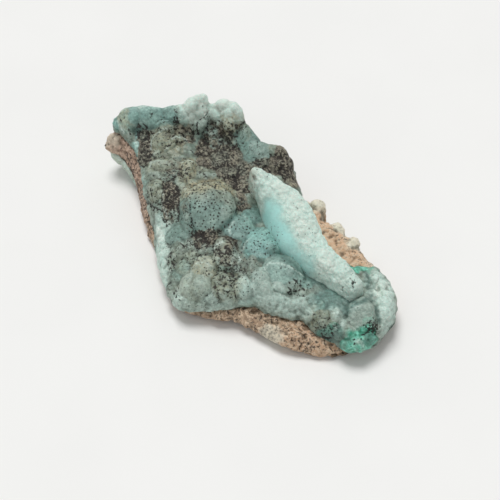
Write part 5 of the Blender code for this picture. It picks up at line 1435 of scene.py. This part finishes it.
class SpecimenStudio(bpy.types.PropertyGroup):
    """Floor, lights and camera."""
    floor_colour: swatch("Floor", "Colour of the floor", (243, 243, 241))
    sky_strength: FloatProperty(
        name="Fill", description="Strength of the even light from all around", default=0.40)
    key_strength: FloatProperty(
        name="Key", description="Strength of the main light", default=1.85)
    front_strength: FloatProperty(
        name="Front", description="Strength of the weak light from the front", default=0.22)
    camera_distance: FloatProperty(
        name="Camera distance", description="From the point looked at", default=0.330,
        unit="LENGTH")
    camera_azimuth: FloatProperty(
        name="Camera azimuth", description="Turn of the camera round the piece",
        default=float(np.radians(38.0)), subtype="ANGLE")
    camera_elevation: FloatProperty(
        name="Camera elevation", description="Height angle of the camera",
        default=float(np.radians(50.0)), subtype="ANGLE")
    frame_width: FloatProperty(
        name="Frame width", description="Width that the camera sees at that distance",
        default=0.1175, unit="LENGTH")


# ---- Operators ----
def take_over(made, node):
    """Let the made object stand for a solid of the frame."""
    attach(made, "root")
    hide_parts(node)


def crust_material(look):
    """The material that the crust, the ridge and the pale crust below share, made once."""
    return bpy.data.materials.get("crust finish") or crust_finish("crust finish", look)


class SPECIMEN_OT_crust(bpy.types.Operator):
    """Make the crust: basin, back wall and right end with all their lumps"""
    bl_idname = "specimen.crust"
    bl_label = "Crust"

    def execute(self, context):
        form, look = context.scene.specimen_form, context.scene.specimen_look
        points = ring_grid(CRUST_FRONT, CRUST_BACK, CRUST_COUNTS, (crust_top, join_height),
                           EDGE_INSET)
        growth = Growth(points, CRUST_COUNTS[1])
        random = np.random.default_rng(CRUST_SEED)
        growth.cover([(*row[:-1], DOME_MARK) for row in DOMES], random)
        for layer in (LUMPS, TOP_LUMPS):
            growth.cover(layer, random)
            growth.settle(form.lump_height)
        growth.soften(CRUST_SOFTER)
        smooth, rough = plan_zone("smooth", growth), plan_zone("rough", growth)
        for amount, cell, seed, kind, by_rough, by_smooth in CRUST_SHAKES:
            amount = amount * form.grain_height * (1.0 - by_rough + by_rough * rough)
            growth.shake(amount * (1.0 - by_smooth * smooth), cell, seed, kind)
        made = closed_mesh("crust", growth, crust_values(growth), crust_material(look))
        take_over(made, "hemimorphite_crust")
        return {"FINISHED"}


class SPECIMEN_OT_ridge(bpy.types.Operator):
    """Make the long pale ridge that stands on the crust"""
    bl_idname = "specimen.ridge"
    bl_label = "Ridge"

    def execute(self, context):
        form, look = context.scene.specimen_form, context.scene.specimen_look
        sections, around = RIDGE_COUNTS
        growth = Growth(ridge_rings(sections, around), around - RIDGE_FOOT_POINTS)
        growth.cover(RIDGE_LUMPS, np.random.default_rng(RIDGE_SEED))
        growth.settle(form.lump_height)
        growth.soften(RIDGE_SOFTER)
        x, y = growth.points[..., 0], growth.points[..., 1]
        wander, *cell_and_seed = FLANK_WANDER
        behind = y - along(FLANK_TOP, x) + wander * noise(growth.points, *cell_and_seed)
        upper = np.where(x < FLANK_END, smooth_step(0.5 + behind / FLANK_FADE), 1.0)
        for amount, cell, seed, kind, all_over, on_top in RIDGE_SHAKES:
            growth.shake(amount * form.grain_height * (all_over + on_top * upper), cell, seed,
                         kind)
        values = crust_values(growth)
        values["aqua"] = 1.0 - 0.6 * upper
        left = smooth_step((RIDGE_TIP_LOOK[0] - x) / RIDGE_TIP_LOOK[1])
        # glow: the flank, partly its clear turquoise and partly painted glow, with more subsurface light
        values["glow"] = (1.0 - upper) * (1.0 - 0.8 * left)
        values["sugar"] = 0.6 * upper
        # Less painted shade in the ridge's creases
        values["crease_shade"] = values["crease_shade"] * 0.2
        values["manganese"] = values["manganese"] * 0.25 * upper
        values["brown"] = values["brown"] * 0.5 * (x < 0.4)
        # The left tip is made pale and white: partly its cream colour, partly painted light on a face in
        # shade
        values["pale"] = np.maximum(upper, 0.75 * left)
        values["white"] = np.maximum(values["white"] * upper, 0.9 * left)
        values["ochre"] = 0.3 * left
        values["specks"] = np.maximum(values["specks"], 0.6 * left)
        # Painted shade: a deep green towards the lower end
        values["deep"] = 0.12 * smooth_step((x - RIDGE_END_LOOK[0]) / RIDGE_END_LOOK[1])
        made = closed_mesh("ridge", growth, values, crust_material(look))
        take_over(made, "hemimorphite_crust")
        return {"FINISHED"}


class SPECIMEN_OT_matrix(bpy.types.Operator):
    """Make the brown matrix plate"""
    bl_idname = "specimen.matrix"
    bl_label = "Matrix"

    def execute(self, context):
        form, look = context.scene.specimen_form, context.scene.specimen_look
        points = ring_grid(MATRIX_FRONT, MATRIX_BACK, MATRIX_COUNTS, two_sides(matrix_surface),
                           MATRIX_INSET)
        growth = Growth(points, MATRIX_COUNTS[1])
        growth.cover(MATRIX_LUMPS, np.random.default_rng(MATRIX_SEED))
        growth.settle(1.0)
        for amount, cell, seed in MATRIX_SHAKES:
            growth.shake(amount * form.rock_grain_height, cell, seed)
        x, y, z = np.moveaxis(growth.points, -1, 0)
        growth.points[..., 2] = np.where(z < REST_BELOW, 0.0, z)
        pink_x, pink_fade = PINK_LEFT
        back_y, back_x, back_fade = ORANGE_BACK
        right_x, right_fade, strongly = ORANGE_RIGHT
        back = smooth_step((y - back_y) / back_fade) * smooth_step((x - back_x) / back_fade)
        values = {
            "pink": smooth_step((pink_x - x) / pink_fade),
            "orange": np.maximum(back, strongly * smooth_step((x - right_x) / right_fade)),
            "iron": 0.5 + 0.5 * noise(growth.points, *IRON_NOISE),
            "grown": plan_zone("overgrowth", growth),
            # Painted shade mask: darker in the rock's hollows
            "crease_shade": np.clip(hollow(growth, FINE_BLUR) * 7.0 + hollow(growth, ROCK_BLUR),
                              0.0, 1.0),
        }
        made = closed_mesh("matrix_rock", growth, values, matrix_finish("matrix finish", look))
        take_over(made, "matrix")
        return {"FINISHED"}


class SPECIMEN_OT_underside(bpy.types.Operator):
    """Make the pale crust below the raised left end"""
    bl_idname = "specimen.underside"
    bl_label = "Pale crust below"

    def execute(self, context):
        look = context.scene.specimen_look
        points = ring_grid(PATCH_FRONT, PATCH_BACK, PATCH_COUNTS, two_sides(patch_surface),
                           PATCH_INSET)
        growth = Growth(points[:, ::-1], PATCH_COUNTS[1] + PATCH_COUNTS[2])
        for row in PATCH_SHAKES:
            growth.shake(*row)
        growth.points[..., 2] = np.maximum(growth.points[..., 2], PATCH_LOWEST)
        values = crust_values(growth)
        for key, value in (("manganese", 0.0), ("brown", 0.0), ("emerald", 0.0),
                           ("specks", 0.0), ("pale", 0.75), ("aqua", 0.15)):
            values[key] = np.full(growth.share.shape, value)
        values["ochre"] = 0.35 + 0.25 * noise(growth.points, *OCHRE_NOISE)
        made = closed_mesh("pale_crust_below", growth, values, crust_material(look))
        take_over(made, "underside_crust")
        return {"FINISHED"}


class SPECIMEN_OT_stage(bpy.types.Operator):
    """Make the floor, the lights and the camera"""
    bl_idname = "specimen.stage"
    bl_label = "Stage"

    def execute(self, context):
        studio, scene = context.scene.specimen_studio, context.scene
        scene.view_settings.view_transform = "Standard"
        mesh = bpy.data.meshes.new("floor")
        side, drop = FLOOR_SIDE / 2.0, -FLOOR_DROP
        mesh.from_pydata([(-side, -side, drop), (side, -side, drop), (side, side, drop),
                          (-side, side, drop)], [], [(0, 1, 2, 3)])
        material = new_material("floor finish")
        n = Nodes(material)
        n.put("Base Color",
              n.mix(n.ramp(n.noise(*FLOOR_CLOUDS), 0.3, 0.7), studio.floor_colour,
                    [FLOOR_DARKER * v for v in studio.floor_colour[:3]] + [1.0]))
        n.put("Roughness", 0.9)
        n.put("Specular IOR Level", 0.0)
        mesh.materials.append(material)
        floor = bpy.data.objects.new("floor", mesh)
        scene.collection.objects.link(floor)
        world = bpy.data.worlds.new("even light")
        world.use_nodes = True
        background = world.node_tree.nodes["Background"]
        background.inputs["Color"].default_value = (1.0, 1.0, 1.0, 1.0)
        background.inputs["Strength"].default_value = studio.sky_strength
        scene.world = world
        for name, strength, spread, towards in (
                ("key", studio.key_strength, KEY_SPREAD, KEY_FROM),
                ("front", studio.front_strength, FRONT_SPREAD, FRONT_FROM)):
            lamp = bpy.data.lights.new(name, "SUN")
            lamp.energy, lamp.angle = strength, spread
            light = bpy.data.objects.new(name, lamp)
            light.rotation_euler = Vector(towards).to_track_quat("Z", "Y").to_euler()
            scene.collection.objects.link(light)
        camera = bpy.data.cameras.new("camera")
        camera.sensor_width = SENSOR
        camera.lens = SENSOR * studio.camera_distance / studio.frame_width
        turn, rise = studio.camera_azimuth, studio.camera_elevation
        back = Vector((np.sin(turn) * np.cos(rise), -np.cos(turn) * np.cos(rise),
                       np.sin(rise)))
        holder = bpy.data.objects.new("camera", camera)
        holder.location = Vector(LOOKED_AT) + back * studio.camera_distance
        holder.rotation_euler = (-back).to_track_quat("-Z", "Y").to_euler()
        scene.collection.objects.link(holder)
        scene.camera = holder
        return {"FINISHED"}


class SPECIMEN_PT_panel(bpy.types.Panel):
    """Lists the steps and the settings"""
    bl_idname = "SPECIMEN_PT_panel"
    bl_label = "Hemimorphite specimen"
    bl_space_type = "VIEW_3D"
    bl_region_type = "UI"
    bl_category = "Specimen"

    def draw(self, context):
        scene = context.scene
        for operator in OPERATORS:
            self.layout.operator(operator.bl_idname)
        for group in (scene.specimen_form, scene.specimen_look, scene.specimen_studio):
            box = self.layout.box()
            for key in group.__annotations__:
                box.prop(group, key)


GROUPS = {"specimen_form": SpecimenForm, "specimen_look": SpecimenLook,
          "specimen_studio": SpecimenStudio}
OPERATORS = (SPECIMEN_OT_crust, SPECIMEN_OT_ridge, SPECIMEN_OT_matrix, SPECIMEN_OT_underside,
             SPECIMEN_OT_stage)


def register():
    """Register the classes and hang the settings on the scene."""
    for made in (*GROUPS.values(), *OPERATORS, SPECIMEN_PT_panel):
        bpy.utils.register_class(made)
    for name, group in GROUPS.items():
        setattr(bpy.types.Scene, name, PointerProperty(type=group))


def unregister():
    """Undo register."""
    for name in GROUPS:
        delattr(bpy.types.Scene, name)
    for made in (SPECIMEN_PT_panel, *reversed(OPERATORS), *reversed(list(GROUPS.values()))):
        bpy.utils.unregister_class(made)


def main():
    register()
    bpy.ops.specimen.crust()
    bpy.ops.specimen.ridge()
    bpy.ops.specimen.matrix()
    bpy.ops.specimen.underside()
    bpy.ops.specimen.stage()


if __name__ == "__main__":
    main()
